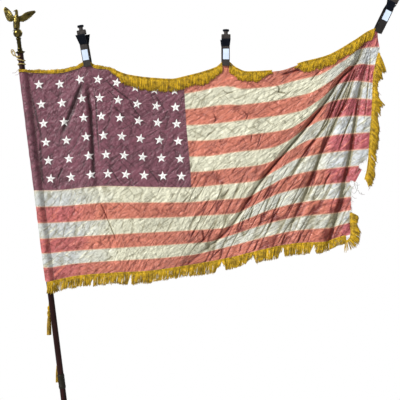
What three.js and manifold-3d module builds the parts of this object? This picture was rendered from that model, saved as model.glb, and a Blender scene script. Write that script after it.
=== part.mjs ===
// A tattered flag of thirteen stripes and a canton, sleeved on a leaning pole and held up by three clamps.
// Millimetres, +Z up, the flag's face towards -Y. The origin is the flat top of the middle clamp.
import * as THREE from 'three';
import { mergeVertices } from 'three/addons/utils/BufferGeometryUtils.js';
import Module from 'manifold-3d';

const wasm = await Module();
wasm.setup();

// Cloth and fringe
const STRIPES = 13;
const CANTON_STRIPES = 7;
const CLOTH = 1.6;
const SEAM_GAP = 0.3;
const ROWS_PER_STRIPE = 2;
const FRINGE = 1.6;
const FRINGE_GAP = 1.8;
const FRINGE_PITCH = 26;
const HEADER = 9;

// Pole, its fittings and its cord
const POLE_RADIUS = 12.5;
const POLE_LENGTH = 2438;
const POLE_JOINT_AT = 1372;
const POLE_LEAN = Math.atan(0.1257);
const POLE_TOP = new THREE.Vector3(-863.3, 0, -100.8);
const JOINT_LENGTH = 60;
const JOINT_WALL = 1.5;
const FOOT_HEIGHT = 25;
const GAP = 0.3;
const CORD_RADIUS = 2.25;
const CORD_OFF_AXIS = POLE_RADIUS + 1 + CORD_RADIUS;
const TASSEL_LENGTH = 123;

// Clamps: where the jaws bite, how far each leans to the right, how far its back arm is shifted, and how much
// further up its grips and hanger, and its label, sit than on the middle one
const CLAMP_HEIGHT = 153;
const JAW_FRONT = -4.8;
const JAW_BACK = 1.9;
const CLAMPS = [
  { name: 'left', tip: [-581, -156], lean: -10, backShift: 5, rise: 23, labelRise: 0 },
  { name: 'middle', tip: [0, -CLAMP_HEIGHT], lean: 0, backShift: -4, rise: 0, labelRise: 0 },
  { name: 'right', tip: [638, -14], lean: 26, backShift: -7, rise: 29, labelRise: 30 },
];

const COLOURS = {
  canton: 0x77495c, red: 0xc46057, white: 0xd8d8c4, fringe: 0xc39a1c, pole: 0x23100f, brass: 0x7d6f31,
  cord: 0xb5a25c, black: 0x15171b, steel: 0x655c57, label: 0xd0dcee, zinc: 0x6f7c8a, rubber: 0x2a2a2a,
};

// Lines across the flag, from hoist to fly, as [x, z]: the top edge, the seams under stripes 3, 7 and 10,
// and the bottom edge
const GUIDES = [
  { seam: 0, line: [[-874, -176], [-719, -181], [-620, -160], [-581, -138], [-545, -160], [-504, -164],
    [-412, -195], [-319, -208], [-227, -213], [-176, -203], [-40, -163], [0, -136], [40, -164], [88, -182],
    [218, -174], [325, -141], [424, -115], [542, -50], [600, -12], [638, 4]] },
  { seam: 3, line: [[-845, -391], [-756, -400], [-668, -391], [-589, -375], [-516, -370], [-433, -377],
    [-354, -389], [-164, -401], [151, -370], [311, -342], [399, -291], [483, -225], [550, -215],
    [620, -224]] },
  { seam: 7, line: [[-806, -676], [-727, -675], [-502, -657], [-319, -661], [-164, -663], [-17, -651],
    [126, -636], [206, -594], [311, -540], [458, -514], [602, -501]] },
  { seam: 10, line: [[-777, -880], [-445, -859], [-151, -844], [-17, -835], [80, -800], [185, -758],
    [311, -727], [525, -703]] },
  { seam: 13, line: [[-753, -1065], [-630, -1039], [-454, -1024], [-336, -1018], [-218, -1003],
    [-25, -971], [311, -900], [424, -895], [462, -880], [508, -866]] },
];

// Column lines down the flag: x where each crosses the five guides, and the cloth cells before the next line
const COLUMNS = [
  { name: 'sleeve', x: [-834, -807, -771, -745, -722], cells: 3 },
  { name: 'clamp pleat left', x: [-612, -578, -553, -500, -470], cells: 1 },
  { name: 'clamp pleat', x: [-590, -561, -538, -485, -455], cells: 1 },
  { name: 'clamp pleat right', x: [-550, -544, -523, -470, -440], cells: 5 },
  { name: 'canton edge', x: [-178, -166, -146, -205, -300], cells: 5 },
  { name: 'main fold left', x: [560, 423, 133, -10, -196], cells: 1 },
  { name: 'main fold', x: [576, 441, 151, 8, -176], cells: 1 },
  { name: 'main fold right', x: [592, 459, 169, 26, -156], cells: 4 },
  { name: 'second fold', x: [605, 521, 407, 311, 239], cells: 2 },
  { name: 'third fold', x: [618, 571, 525, 496, 440], cells: 1 },
  { name: 'fly', x: [638, 620, 602, 525, 508], cells: 0 },
];

// Folds as [x, z, depth] from the top down: a positive depth is a trough away from the face
const FOLDS = [
  { half: 20, line: [[576, -60, 0], [555, -125, 14], [473, -216, 22], [441, -270, 22], [336, -410, 22],
    [151, -630, 20], [8, -840, 14], [-176, -995, 4]] },
  { half: 40, line: [[605, -90, 0], [570, -180, 8], [521, -224, 10], [407, -510, 10], [311, -727, 8],
    [239, -915, 4]] },
  { half: 28, line: [[618, -90, 0], [571, -222, 8], [525, -508, 10], [496, -708, 14], [440, -893, 14]] },
  { half: 22, line: [[-583, -200, 0], [-571, -260, 12], [-561, -374, 15], [-538, -658, 9], [-485, -860, 2]] },
];

// The soft rolls of the hanging cloth, and the height and the hoist side where they fade out
const ROLL = {
  top: -175,
  hoist: -800,
  fade: 200,
  narrow: { depth: 7, slant: 0.45, width: 95 },
  broad: { depth: 5, slant: -0.2, width: 170 },
};

// The hem sleeve round the pole, as [across, depth] from the pole's axis: from the stitches round the front
// and back
const SLEEVE = [[13.5, -8.4], [7.5, -14.2], [-1, -16.1], [-9.2, -13.4], [-15, -6.2], [-16.6, 1.5],
  [-14.2, 10.4], [-7.2, 17.6], [2, 20.9], [11.3, 17.6], [16.8, 10], [19.4, 2.2]];
const STITCH_DEPTH = -0.9;

const damp = (t) => t * t * (3 - 2 * t);
const clamp01 = (t) => Math.min(1, Math.max(0, t));

// A smooth curve through points given as [position, value], without overshoot
function smooth(points) {
  const n = points.length;
  const rise = points.slice(1).map((p, i) => (p[1] - points[i][1]) / (p[0] - points[i][0]));
  const slope = points.map((p, i) => {
    if (i === 0) return rise[0];
    if (i === n - 1) return rise[n - 2];
    return rise[i - 1] * rise[i] <= 0 ? 0 : (2 * rise[i - 1] * rise[i]) / (rise[i - 1] + rise[i]);
  });
  return (at) => {
    let i = 0;
    while (i < n - 2 && at > points[i + 1][0]) i += 1;
    const span = points[i + 1][0] - points[i][0];
    const t = clamp01((at - points[i][0]) / span);
    const a = points[i][1];
    const b = points[i + 1][1];
    return a + (b - a) * damp(t) + span * t * (1 - t) * (slope[i] * (1 - t) - slope[i + 1] * t);
  };
}

const guideHeight = GUIDES.map((g) => smooth(g.line));

// x and z of the column that crosses the guides at xs, at seam number s (0 at the top, 13 at the bottom)
function columnPoint(xs, s) {
  const x = smooth(GUIDES.map((g, i) => [g.seam, xs[i]]))(s);
  const z = smooth(GUIDES.map((g, i) => [g.seam, guideHeight[i](xs[i])]))(s);
  return [x, z];
}

const foldCurves = FOLDS.map(({ half, line }) => {
  const down = [...line].reverse();
  return {
    half,
    low: down[0][1],
    high: line[0][1],
    x: smooth(down.map((p) => [p[1], p[0]])),
    depth: smooth(down.map((p) => [p[1], p[2]])),
  };
});

// How far behind the flag's plane the cloth lies at x, z
function clothDepth(x, z) {
  let depth = 0;
  for (const fold of foldCurves) {
    const level = Math.min(fold.high, Math.max(fold.low, z));
    const away = Math.abs(x - fold.x(level)) / fold.half;
    if (away < 1 && z < fold.high) depth += fold.depth(level) * (1 - away);
  }
  const { top, hoist, fade } = ROLL;
  const hanging = damp(clamp01((top - z) / fade)) * damp(clamp01((x - hoist) / fade));
  const narrow = ROLL.narrow.depth * Math.sin((x + ROLL.narrow.slant * z) / ROLL.narrow.width);
  const broad = ROLL.broad.depth * Math.sin((x + ROLL.broad.slant * z) / ROLL.broad.width + 1);
  return depth + hanging * (narrow + broad);
}

// The cloth's face normal there, towards the viewer
function clothNormal(x, z) {
  const step = 4;
  const dx = (clothDepth(x + step, z) - clothDepth(x - step, z)) / (2 * step);
  const dz = (clothDepth(x, z + step) - clothDepth(x, z - step)) / (2 * step);
  return new THREE.Vector3(dx, -1, dz).normalize();
}

const poleAxisX = (z) => POLE_TOP.x - Math.tan(POLE_LEAN) * (z - POLE_TOP.z);

// A closed solid from an open surface: points with normals, triangles, and a thickness
function thicken(points, normals, triangles, thickness) {
  const n = points.length;
  const position = [];
  for (const lift of [thickness / 2, -thickness / 2]) {
    points.forEach((p, i) => position.push(...p.clone().addScaledVector(normals[i], lift).toArray()));
  }
  const index = [];
  const edges = new Map();
  for (const [a, b, c] of triangles) {
    index.push(a, b, c, n + a, n + c, n + b);
    for (const [p, q] of [[a, b], [b, c], [c, a]]) edges.set(`${p},${q}`, [p, q]);
  }
  // The side walls' diagonals run the same way on both sides of a seam, so that neighbours stay apart
  const goesRight = (p, q) => (points[p].x - points[q].x || points[p].z - points[q].z) < 0;
  for (const [p, q] of edges.values()) {
    if (edges.has(`${q},${p}`)) continue;
    if (goesRight(p, q)) index.push(p, n + p, n + q, p, n + q, q);
    else index.push(p, n + p, q, n + p, n + q, q);
  }
  const geometry = new THREE.BufferGeometry();
  geometry.setAttribute('position', new THREE.Float32BufferAttribute(position, 3));
  geometry.setIndex(index);
  return facingOut(geometry);
}

// Turns every triangle round if the solid is inside out
function facingOut(geometry) {
  const p = geometry.attributes.position;
  const index = geometry.index.array;
  const v = [0, 1, 2].map(() => new THREE.Vector3());
  let volume = 0;
  for (let i = 0; i < index.length; i += 3) {
    v.forEach((corner, k) => corner.fromBufferAttribute(p, index[i + k]));
    volume += v[0].dot(v[1].clone().cross(v[2]));
  }
  if (volume < 0) {
    for (let i = 0; i < index.length; i += 3) [index[i], index[i + 1]] = [index[i + 1], index[i]];
  }
  geometry.computeVertexNormals();
  return geometry;
}

// A rectangular net of points, row by row, as triangles
function netTriangles(rows, columns) {
  const triangles = [];
  for (let r = 0; r < rows - 1; r += 1) {
    for (let c = 0; c < columns - 1; c += 1) {
      const a = r * columns + c;
      triangles.push([a, a + columns, a + columns + 1], [a, a + columns + 1, a + 1]);
    }
  }
  return triangles;
}

const columnNamed = (name) => COLUMNS.findIndex((c) => c.name === name);

// The x positions of every cloth column between two named column lines
function columnSet(first, last) {
  const set = [];
  for (let i = columnNamed(first); i < columnNamed(last); i += 1) {
    for (let k = 0; k < COLUMNS[i].cells; k += 1) {
      set.push(COLUMNS[i].x.map((x, g) => x + ((COLUMNS[i + 1].x[g] - x) * k) / COLUMNS[i].cells));
    }
  }
  set.push(COLUMNS[columnNamed(last)].x);
  return set;
}

// One sewn panel, from seam to seam and from column to column; with a sleeve it wraps the pole as well
function panel(top, bottom, first, last, sleeved, startGap = 0) {
  const rows = (bottom - top) * ROWS_PER_STRIPE + 1;
  const set = columnSet(first, last);
  const points = [];
  const normals = [];
  for (let r = 0; r < rows; r += 1) {
    const s = top + r / ROWS_PER_STRIPE;
    const nudge = r === 0 ? -SEAM_GAP / 2 : r === rows - 1 ? SEAM_GAP / 2 : 0;
    if (sleeved) addSleeve(points, normals, set[0], s, nudge);
    set.forEach((xs, i) => {
      const [x, z] = columnPoint(xs, s);
      const depth = i === 0 && sleeved ? STITCH_DEPTH : clothDepth(x, z);
      points.push(new THREE.Vector3(x + (i === 0 ? startGap : 0), depth, z + nudge));
      normals.push(clothNormal(x, z));
    });
  }
  const columns = set.length + (sleeved ? SLEEVE.length : 0);
  return thicken(points, normals, netTriangles(rows, columns), CLOTH);
}

// The sleeve's part of one row, from behind the stitches round the pole to the front
function addSleeve(points, normals, xs, s, nudge) {
  const [, z] = columnPoint(xs, s);
  const ring = [...SLEEVE].reverse();
  const last = [columnPoint(xs, s)[0] - poleAxisX(z), STITCH_DEPTH];
  ring.forEach((p, i) => {
    const before = i === 0 ? p : ring[i - 1];
    const after = i === ring.length - 1 ? last : ring[i + 1];
    const along = new THREE.Vector2(after[0] - before[0], after[1] - before[1]).normalize();
    points.push(new THREE.Vector3(poleAxisX(z) + p[0], p[1], z + nudge));
    normals.push(new THREE.Vector3(along.y, -along.x, 0));
  });
}

// Shared solids for joins and cuts
function solid(geometry) {
  const bare = geometry.clone();
  for (const name of ['normal', 'uv']) bare.deleteAttribute(name);
  const merged = mergeVertices(bare, 1e-4);
  return new wasm.Manifold(new wasm.Mesh({
    numProp: 3,
    vertProperties: Float32Array.from(merged.attributes.position.array),
    triVerts: Uint32Array.from(merged.index.array),
  }));
}

function geometryOf(manifold) {
  const mesh = manifold.getMesh();
  const geometry = new THREE.BufferGeometry();
  geometry.setAttribute('position', new THREE.Float32BufferAttribute(mesh.vertProperties, 3));
  geometry.setIndex(Array.from(mesh.triVerts));
  geometry.computeVertexNormals();
  return geometry;
}

const join = (...parts) => geometryOf(parts.map(solid).reduce((a, b) => a.add(b)));

// A flat outline in the X-Z plane, made solid along Y between two depths
function plate(outline, front, back) {
  const shape = new THREE.Shape(outline.map(([x, z]) => new THREE.Vector2(x, z)));
  const geometry = new THREE.ExtrudeGeometry(shape, { depth: back - front, bevelEnabled: false, steps: 1 });
  geometry.rotateX(Math.PI / 2);
  geometry.translate(0, back, 0);
  return facingOut(mergeVertices(stripped(geometry), 1e-4));
}

function stripped(geometry) {
  for (const name of ['normal', 'uv']) geometry.deleteAttribute(name);
  return geometry;
}

// Torn holes beside the fly, each a ragged outline in the flag's plane
const TEARS = [
  [[552, -572], [562, -561], [590, -545], [640, -545], [640, -606], [590, -600], [572, -593], [558, -586]],
  [[521, -640], [531, -635], [541, -642], [540, -656], [529, -661], [520, -652]],
];

function torn(geometry) {
  let cloth = solid(geometry);
  for (const outline of TEARS) cloth = cloth.subtract(solid(plate(outline, -70, 70)));
  return geometryOf(cloth);
}

const group = new THREE.Group();

function addTo(parent, name, geometry, colour, roughness = 0.8, metalness = 0) {
  const material = new THREE.MeshStandardMaterial({ color: colour, roughness, metalness });
  const mesh = new THREE.Mesh(geometry, material);
  mesh.name = name;
  parent.add(mesh);
  return mesh;
}

const add = (...piece) => addTo(group, ...piece);

function addCloth() {
  add('canton', panel(0, CANTON_STRIPES, 'sleeve', 'canton edge', true), COLOURS.canton, 0.6);
  for (let k = 1; k <= STRIPES; k += 1) {
    const whole = k > CANTON_STRIPES;
    const first = whole ? 'sleeve' : 'canton edge';
    const sheet = panel(k - 1, k, first, 'fly', whole, whole ? 0 : SEAM_GAP);
    const nearTears = k >= 8 && k <= 10;
    const colour = k % 2 ? COLOURS.red : COLOURS.white;
    add(`stripe_${String(k).padStart(2, '0')}`, nearTears ? torn(sheet) : sheet, colour, 0.6);
  }
}

// A comb of strands on a header, made of count cells: at(i) gives the header's edge points, the two points
// at the tip, and whether the strand leaves from the outer edge
function comb(count, at) {
  const points = [];
  const triangles = [];
  const put = (p) => points.push(p) - 1;
  let last = null;
  for (let i = 0; i < count; i += 1) {
    const cell = at(i);
    const start = last ?? [put(cell.outer[0]), put(cell.inner[0])];
    const end = [put(cell.outer[1]), put(cell.inner[1])];
    triangles.push([start[0], start[1], end[1]], [start[0], end[1], end[0]]);
    if (cell.tips) {
      const [a, b] = cell.fromOuter ? [end[0], start[0]] : [start[1], end[1]];
      const tips = cell.fromOuter ? [put(cell.tips[1]), put(cell.tips[0])] : cell.tips.map(put);
      triangles.push([a, tips[0], tips[1]], [a, tips[1], b]);
    }
    last = end;
  }
  const normals = points.map(() => new THREE.Vector3(0, -1, 0));
  return thicken(points, normals, triangles, FRINGE);
}

// A repeatable unevenness between -1 and 1 for strand number i
const uneven = (i) => Math.sin(i * 12.9898) * Math.cos(i * 4.1414);

// How far the sleeve's front stands off the flag's plane, and where that ends beside the pole
const SLEEVE_FRONT = -16.1;
const SLEEVE_SIDE = [16, 44];

// A point in front of the cloth near x, z, or of the sleeve where the pole is
function onFace(x, z, lift) {
  const away = clamp01((x - poleAxisX(z) - SLEEVE_SIDE[0]) / (SLEEVE_SIDE[1] - SLEEVE_SIDE[0]));
  return new THREE.Vector3(x, SLEEVE_FRONT + (clothDepth(x, z) - SLEEVE_FRONT) * away - lift, z);
}

const FACE_LIFT = (CLOTH + FRINGE) / 2 + FRINGE_GAP;
const POLE_LIFT = FACE_LIFT + 2;
const BACK_LIFT = -9;

// How far a strand falls below the edge, and by how much that varies
const STRAND = 40;
const STRAND_VARIES = 5;

// The top fringe runs between two x. It changes sides at flip, is worn away at bald and leans past there by
// slant, and its strands are shut in near each clamp
const TOP_FRINGE = { run: [-868, 626], flip: -478, bald: [195, 300], slant: -12, heldWithin: 30 };
const BOTTOM_FRINGE = { run: [-742, 500] };

// The top edge's fringe: it falls over the back as far as the left clamp, and over the face beyond it
function addTopFringe() {
  const edge = guideHeight[0];
  const [start, end] = TOP_FRINGE.run;
  const count = Math.round((end - start) / FRINGE_PITCH);
  const width = (end - start) / count;
  const header = (x, rise) => onFace(x, edge(x) + rise, FACE_LIFT);
  add('fringe_top', comb(count, (i) => {
    const left = start + i * width;
    const right = left + width;
    const middle = (left + right) / 2;
    const back = middle < TOP_FRINGE.flip;
    const bare = middle > TOP_FRINGE.bald[0] && middle < TOP_FRINGE.bald[1];
    const held = CLAMPS.some((c) => Math.abs(middle - c.tip[0]) < TOP_FRINGE.heldWithin);
    const drop = STRAND + STRAND_VARIES * uneven(i);
    const slant = middle > TOP_FRINGE.bald[1] ? TOP_FRINGE.slant : 0;
    const overPole = left < poleAxisX(edge(left)) + SLEEVE_SIDE[1];
    const tips = back
      ? [left + 4, right - 4].map((x) => onFace(x, edge(x) + 2 * HEADER, overPole ? POLE_LIFT : BACK_LIFT))
      : [left + 5, right - 4].map((x) => onFace(x + slant, edge(x) - drop, FACE_LIFT + 1));
    return {
      outer: [header(left, HEADER - 4), header(right, HEADER - 4)],
      inner: [header(left, -4), header(right, -4)],
      tips: bare || held ? null : tips,
      fromOuter: back,
    };
  }), COLOURS.fringe);
}

// The bottom edge's fringe
function addBottomFringe() {
  const edge = guideHeight[4];
  const [start, end] = BOTTOM_FRINGE.run;
  const count = Math.round((end - start) / FRINGE_PITCH);
  const width = (end - start) / count;
  const header = (x, rise) => onFace(x, edge(x) + rise, FACE_LIFT);
  add('fringe_bottom', comb(count, (i) => {
    const left = start + i * width;
    const right = left + width;
    const drop = STRAND + STRAND_VARIES * uneven(i + 3);
    return {
      outer: [header(left, 4), header(right, 4)],
      inner: [header(left, 4 - HEADER), header(right, 4 - HEADER)],
      tips: [left + 4, right - 5].map((x) => onFace(x, edge(x) - drop, FACE_LIFT)),
      fromOuter: false,
    };
  }), COLOURS.fringe);
}

// A fringe along a free line of [x, z] points from the top down, its strands set outwards and falling
function sideFringe(name, line, reach, fall) {
  const path = new THREE.CatmullRomCurve3(line.map(([x, z]) => new THREE.Vector3(x, 0, z)));
  const count = Math.round(path.getLength() / (FRINGE_PITCH * 0.8));
  const place = (t, out, down) => {
    const at = clamp01(t);
    const p = path.getPointAt(at);
    const along = path.getTangentAt(at);
    const depth = clothDepth(p.x, p.z) - FACE_LIFT;
    return new THREE.Vector3(p.x - along.z * out, depth, p.z + along.x * out - down);
  };
  add(name, comb(count, (i) => {
    const [a, b] = [i / count, (i + 1) / count];
    const length = reach * (1 + 0.2 * uneven(i + 7));
    return {
      outer: [place(a, -4, 0), place(b, -4, 0)],
      inner: [place(a, HEADER - 4, 0), place(b, HEADER - 4, 0)],
      tips: [place(a + 0.1 / count, length, fall), place(b - 0.2 / count, length, fall)],
      fromOuter: false,
    };
  }), COLOURS.fringe);
}

const FLY_LINE = [[629, -105], [624, -225], [616, -330], [607, -440], [602, -520], [594, -590], [578, -640]];
const FLY_REACH = 27;
const FLY_FALL = 16;
const CORNER_LINE = [[522, -770], [540, -815], [545, -860], [530, -888], [508, -892]];
const CORNER_REACH = 24;
const CORNER_FALL = 6;

function addFringes() {
  addTopFringe();
  addBottomFringe();
  sideFringe('fringe_fly', FLY_LINE, FLY_REACH, FLY_FALL);
  sideFringe('fringe_corner', CORNER_LINE, CORNER_REACH, CORNER_FALL);
}

// The pole's own frame: X across it, Z along it, its origin at the pole's top
const poleGroup = new THREE.Group();
poleGroup.position.copy(POLE_TOP);
poleGroup.rotation.y = -POLE_LEAN;
group.add(poleGroup);
const addToPole = (...piece) => addTo(poleGroup, ...piece);

// A solid of revolution about Z from [radius, height] points, closed on its axis
function turned(profile, sides) {
  const points = profile.map(([r, z]) => new THREE.Vector2(r, z));
  const geometry = new THREE.LatheGeometry(points, sides);
  geometry.rotateX(Math.PI / 2);
  return facingOut(mergeVertices(stripped(geometry), 1e-4));
}

function rod(radius, low, high, sides = 20) {
  return turned([[0, low], [radius, low], [radius, high], [0, high]], sides);
}

function addPole() {
  const joint = -POLE_JOINT_AT;
  addToPole('pole_upper', rod(POLE_RADIUS, joint + GAP, -GAP), COLOURS.pole, 0.4);
  const inner = POLE_RADIUS + GAP;
  const outer = inner + JOINT_WALL;
  const low = joint - JOINT_LENGTH * 0.75;
  const high = joint + JOINT_LENGTH * 0.25;
  const joined = [[inner, low], [outer, low], [outer, high], [inner, high], [inner, low]];
  addToPole('pole_joint', turned(joined, 20), COLOURS.brass, 0.4, 0.8);
  addToPole('pole_lower', rod(POLE_RADIUS, -POLE_LENGTH + FOOT_HEIGHT + GAP, joint), COLOURS.pole, 0.4);
  addToPole('pole_foot', turned([[0, -POLE_LENGTH], [15, -POLE_LENGTH], [16, -POLE_LENGTH + 5],
    [14, -POLE_LENGTH + FOOT_HEIGHT], [0, -POLE_LENGTH + FOOT_HEIGHT]], 20), COLOURS.rubber, 0.7);
}

// Ferrule: a flange that sits on the pole and the tube above it
const FLANGE = { radius: 20.5, height: 9 };
const TUBE = { low: 10.2, high: 8.8, top: 66 };
const BALL = { radius: 19, centre: 85.5 };

function addFinial() {
  const profile = [[0, 0], [15, 0], [16, 3], [FLANGE.radius, 4], [FLANGE.radius, 7], [14, FLANGE.height],
    [TUBE.low, 12], [TUBE.high, TUBE.top - 5], [11, TUBE.top - 2], [11, TUBE.top], [0, TUBE.top]];
  addToPole('ferrule', turned(profile, 20), COLOURS.brass, 0.35, 0.9);
  addToPole('finial_eagle', eagle(), COLOURS.brass, 0.35, 0.9);
}

// The eagle on its ball: turned body, head with a beak, tail, and two wings. The ball leans with the pole, and
// the eagle stands upright on it, so its outlines are (x, z) above the ball's top in the upright frame.
const EAGLE_BODY = [[0, -6], [9, -5], [13, 6], [14, 22], [13.5, 38], [11, 48], [7.5, 58], [5.5, 66], [4.5, 72],
  [3, 79], [0, 82]];
const EAGLE_MIDDLE = -3;
const EAGLE_TAIL = [[-9, -8], [9, -8], [13, -26], [0, -32], [-11, -27]];
const LEFT_WING = [[-7, 39], [-18, 35], [-27, 29], [-37, 30], [-45, 40], [-51, 58], [-56, 81], [-54, 92], [-43, 86],
  [-32, 76], [-25, 65], [-23, 54], [-7, 50]];
const RIGHT_WING = [[5, 48], [21, 54], [30, 63], [40, 68], [53, 72], [66, 75], [78, 74], [74, 66], [61, 54], [49, 42],
  [36, 33], [25, 29], [5, 31]];

function eagle() {
  const top = BALL.centre + BALL.radius;
  const ball = new THREE.SphereGeometry(BALL.radius, 16, 10);
  ball.rotateX(Math.PI / 2);
  ball.translate(0, 0, BALL.centre);
  const body = turned(EAGLE_BODY, 12);
  body.translate(EAGLE_MIDDLE, 0, 0);
  const beak = new THREE.ConeGeometry(3.2, 12, 6);
  beak.rotateZ(Math.PI / 2);
  beak.translate(EAGLE_MIDDLE - 6, 0, 71);
  const bird = [body, beak, plate(EAGLE_TAIL, 2, 22), plate(LEFT_WING, -3, 5), plate(RIGHT_WING, -3, 5)];
  for (const shape of bird) {
    shape.rotateY(POLE_LEAN);
    shape.translate(0, 0, top);
  }
  return join(ball, ...bird);
}

// A round tube along points given as [x, y, z]
function tube(points, radius, steps, sides = 8) {
  const path = new THREE.CatmullRomCurve3(points.map((p) => new THREE.Vector3(...p)));
  const ring = new THREE.Shape();
  ring.absarc(0, 0, radius, 0, 2 * Math.PI);
  const geometry = new THREE.ExtrudeGeometry(ring, { steps, extrudePath: path, curveSegments: sides / 2 });
  return facingOut(mergeVertices(stripped(geometry), 1e-3));
}

// The cord's tie round the pole under the flange, with its loop on the left, in the pole's frame
const TIE_POINTS = [
  ...Array.from({ length: 21 }, (_, i) => {
    const turn = Math.PI / 2 + (i / 8) * 2 * Math.PI;
    return [Math.cos(turn) * CORD_OFF_AXIS, Math.sin(turn) * CORD_OFF_AXIS, -52 + i * 1.9];
  }),
  [-7, -15.2, -13], [-13.5, -12, -12], [-20, -6, -9], [-29, -6, -3], [-36, -6, 8], [-35, -4, 19],
  [-28, -1, 17], [-26, 2, 4], [-22, 6, -6], [-19, 12, -12],
];

// The two free ends, in the object's frame: inside the sleeve behind the pole, then out to the tassels
const alongPole = (angle, drop) => {
  const across = Math.cos(angle) * CORD_OFF_AXIS;
  return [
    POLE_TOP.x + across * Math.cos(POLE_LEAN) + drop * Math.sin(POLE_LEAN),
    Math.sin(angle) * CORD_OFF_AXIS,
    POLE_TOP.z + across * Math.sin(POLE_LEAN) - drop * Math.cos(POLE_LEAN),
  ];
};
const SHORT_ANGLE = 1.75;
const LONG_ANGLE = 1.22;
const SHORT_END = [
  ...[60, 180, 300, 420, 540, 660, 780, 900, 955].map((drop) => alongPole(SHORT_ANGLE, drop)),
  [-746, 14.5, -1090], [-745, 14, -1125], [-745, 14, -1162],
];
const LONG_END = [
  ...[60, 180, 300, 420, 540, 660, 780, 900, 1000, 1100, 1190].map((drop) => alongPole(LONG_ANGLE, drop)),
  [-709, 18, -1320], [-708, 21.5, -1340], [-708, 22.5, -1363],
];

const TASSEL_PROFILE = [[0, 0], [3, 0], [6.5, -6], [7, -12], [4.6, -19], [7.6, -26], [8.2, -36], [6, -41],
  [9.4, -54], [10.4, -90], [10.4, -TASSEL_LENGTH], [0, -TASSEL_LENGTH]];

function addCords() {
  addToPole('cord_tie', tube(TIE_POINTS, CORD_RADIUS, 64), COLOURS.cord);
  for (const [name, points, steps] of [['short', SHORT_END, 36], ['long', LONG_END, 42]]) {
    add(`cord_${name}`, tube(points, CORD_RADIUS, steps), COLOURS.cord);
    const tassel = add(`tassel_${name}`, turned([...TASSEL_PROFILE].reverse(), 14), COLOURS.fringe);
    tassel.position.set(...points[points.length - 1]);
    tassel.position.z -= GAP;
  }
}

// A profile in the Y-Z plane, made solid across X
function bar(profile, width, shift = 0) {
  const shape = new THREE.Shape(profile.map(([y, z]) => new THREE.Vector2(y, z)));
  const geometry = new THREE.ExtrudeGeometry(shape, { depth: width, bevelEnabled: false, steps: 1 });
  geometry.rotateX(Math.PI / 2);
  geometry.rotateZ(Math.PI / 2);
  geometry.translate(shift - width / 2, 0, 0);
  return facingOut(mergeVertices(stripped(geometry), 1e-4));
}

// The same, from lowWidth at the bottom to highWidth at the top, its top moved sideways by lean
function flared(profile, lowWidth, highWidth, lean, shift = 0) {
  const geometry = bar(profile, 1);
  const heights = profile.map(([, z]) => z);
  const low = Math.min(...heights);
  const high = Math.max(...heights);
  const place = geometry.attributes.position;
  for (let i = 0; i < place.count; i += 1) {
    const up = (place.getZ(i) - low) / (high - low);
    place.setX(i, place.getX(i) * (lowWidth + (highWidth - lowWidth) * up) + lean * up + shift);
  }
  return geometry;
}

const mirrored = (profile, front, back) => profile.map(([y, z]) => [front + back - y, z]);

// One spring clamp: two arms with jaws and grips, the spring between them, a hanging block with its cap, and
// a label
function addClamp({ name, tip, lean, backShift, rise, labelRise }) {
  const holder = new THREE.Group();
  holder.position.set(tip[0], 0, tip[1]);
  holder.rotation.y = THREE.MathUtils.degToRad(lean);
  group.add(holder);
  const piece = (part, ...rest) => addTo(holder, `clamp_${name}_${part}`, ...rest);

  const armTop = 82 + Math.max(rise * 0.5, labelRise * 0.75);
  const arm = [[JAW_FRONT, 0], [JAW_FRONT - 3, 0], [-11, 12], [-15.5, 24], [-16.5, 52], [-18, armTop],
    [-15, armTop], [-13.5, 52], [-12.5, 26], [-8, 16], [JAW_FRONT, 14]];
  piece('arm_front', bar(arm, 31), COLOURS.steel, 0.5, 0.6);
  piece('arm_back', bar(mirrored(arm, JAW_FRONT, JAW_BACK), 31, backShift), COLOURS.steel, 0.5, 0.6);

  const spring = new THREE.CylinderGeometry(7.5, 7.5, 24, 16);
  spring.rotateZ(Math.PI / 2);
  spring.translate(0, (JAW_FRONT + JAW_BACK) / 2, 40);
  piece('spring', facingOut(mergeVertices(stripped(spring), 1e-4)), COLOURS.zinc, 0.4, 0.8);

  const gripLow = armTop + GAP;
  const gripTop = 112 + rise;
  const grip = [[-20.5, gripLow], [-23, gripTop], [-16, gripTop], [-12.5, gripLow]];
  const splay = rise * 0.3;
  piece('grip_front', flared(grip, 31, 39, -splay), COLOURS.black, 0.5);
  piece('grip_back', flared(mirrored(grip, JAW_FRONT, JAW_BACK), 31, 39, splay, backShift), COLOURS.black, 0.5);

  const stem = bar([[-4, 60], [2, 60], [2, 113 + rise], [-4, 113 + rise]], 16);
  const block = bar([[-12, 112.5 + rise], [9, 112.5 + rise], [9, 132 + rise], [-12, 132 + rise]], 38);
  const neck = rod(9, 131 + rise, 145 + rise, 16);
  neck.translate(0, -1, 0);
  piece('hanger', join(stem, block, neck), COLOURS.steel, 0.5, 0.4);
  piece('cap', rod(13.5, 145.3 + rise, CLAMP_HEIGHT + rise, 20), COLOURS.black, 0.5);

  const plate = [[-15.9, 26], [-16.9, 52], [-17.6, 70], [-18.2, 70], [-17.5, 52], [-16.5, 26]];
  const label = bar(plate.map(([y, z]) => [y - labelRise * 0.037, z + labelRise]), 25);
  piece('label', label, COLOURS.label, 0.6);
}

addCloth();
addFringes();
addPole();
addFinial();
addCords();
CLAMPS.forEach(addClamp);

export default group;
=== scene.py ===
import math

import bmesh
import bpy
import numpy as np
from bpy.props import FloatProperty, FloatVectorProperty, PointerProperty
from mathutils import Color, Matrix, Vector


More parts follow.
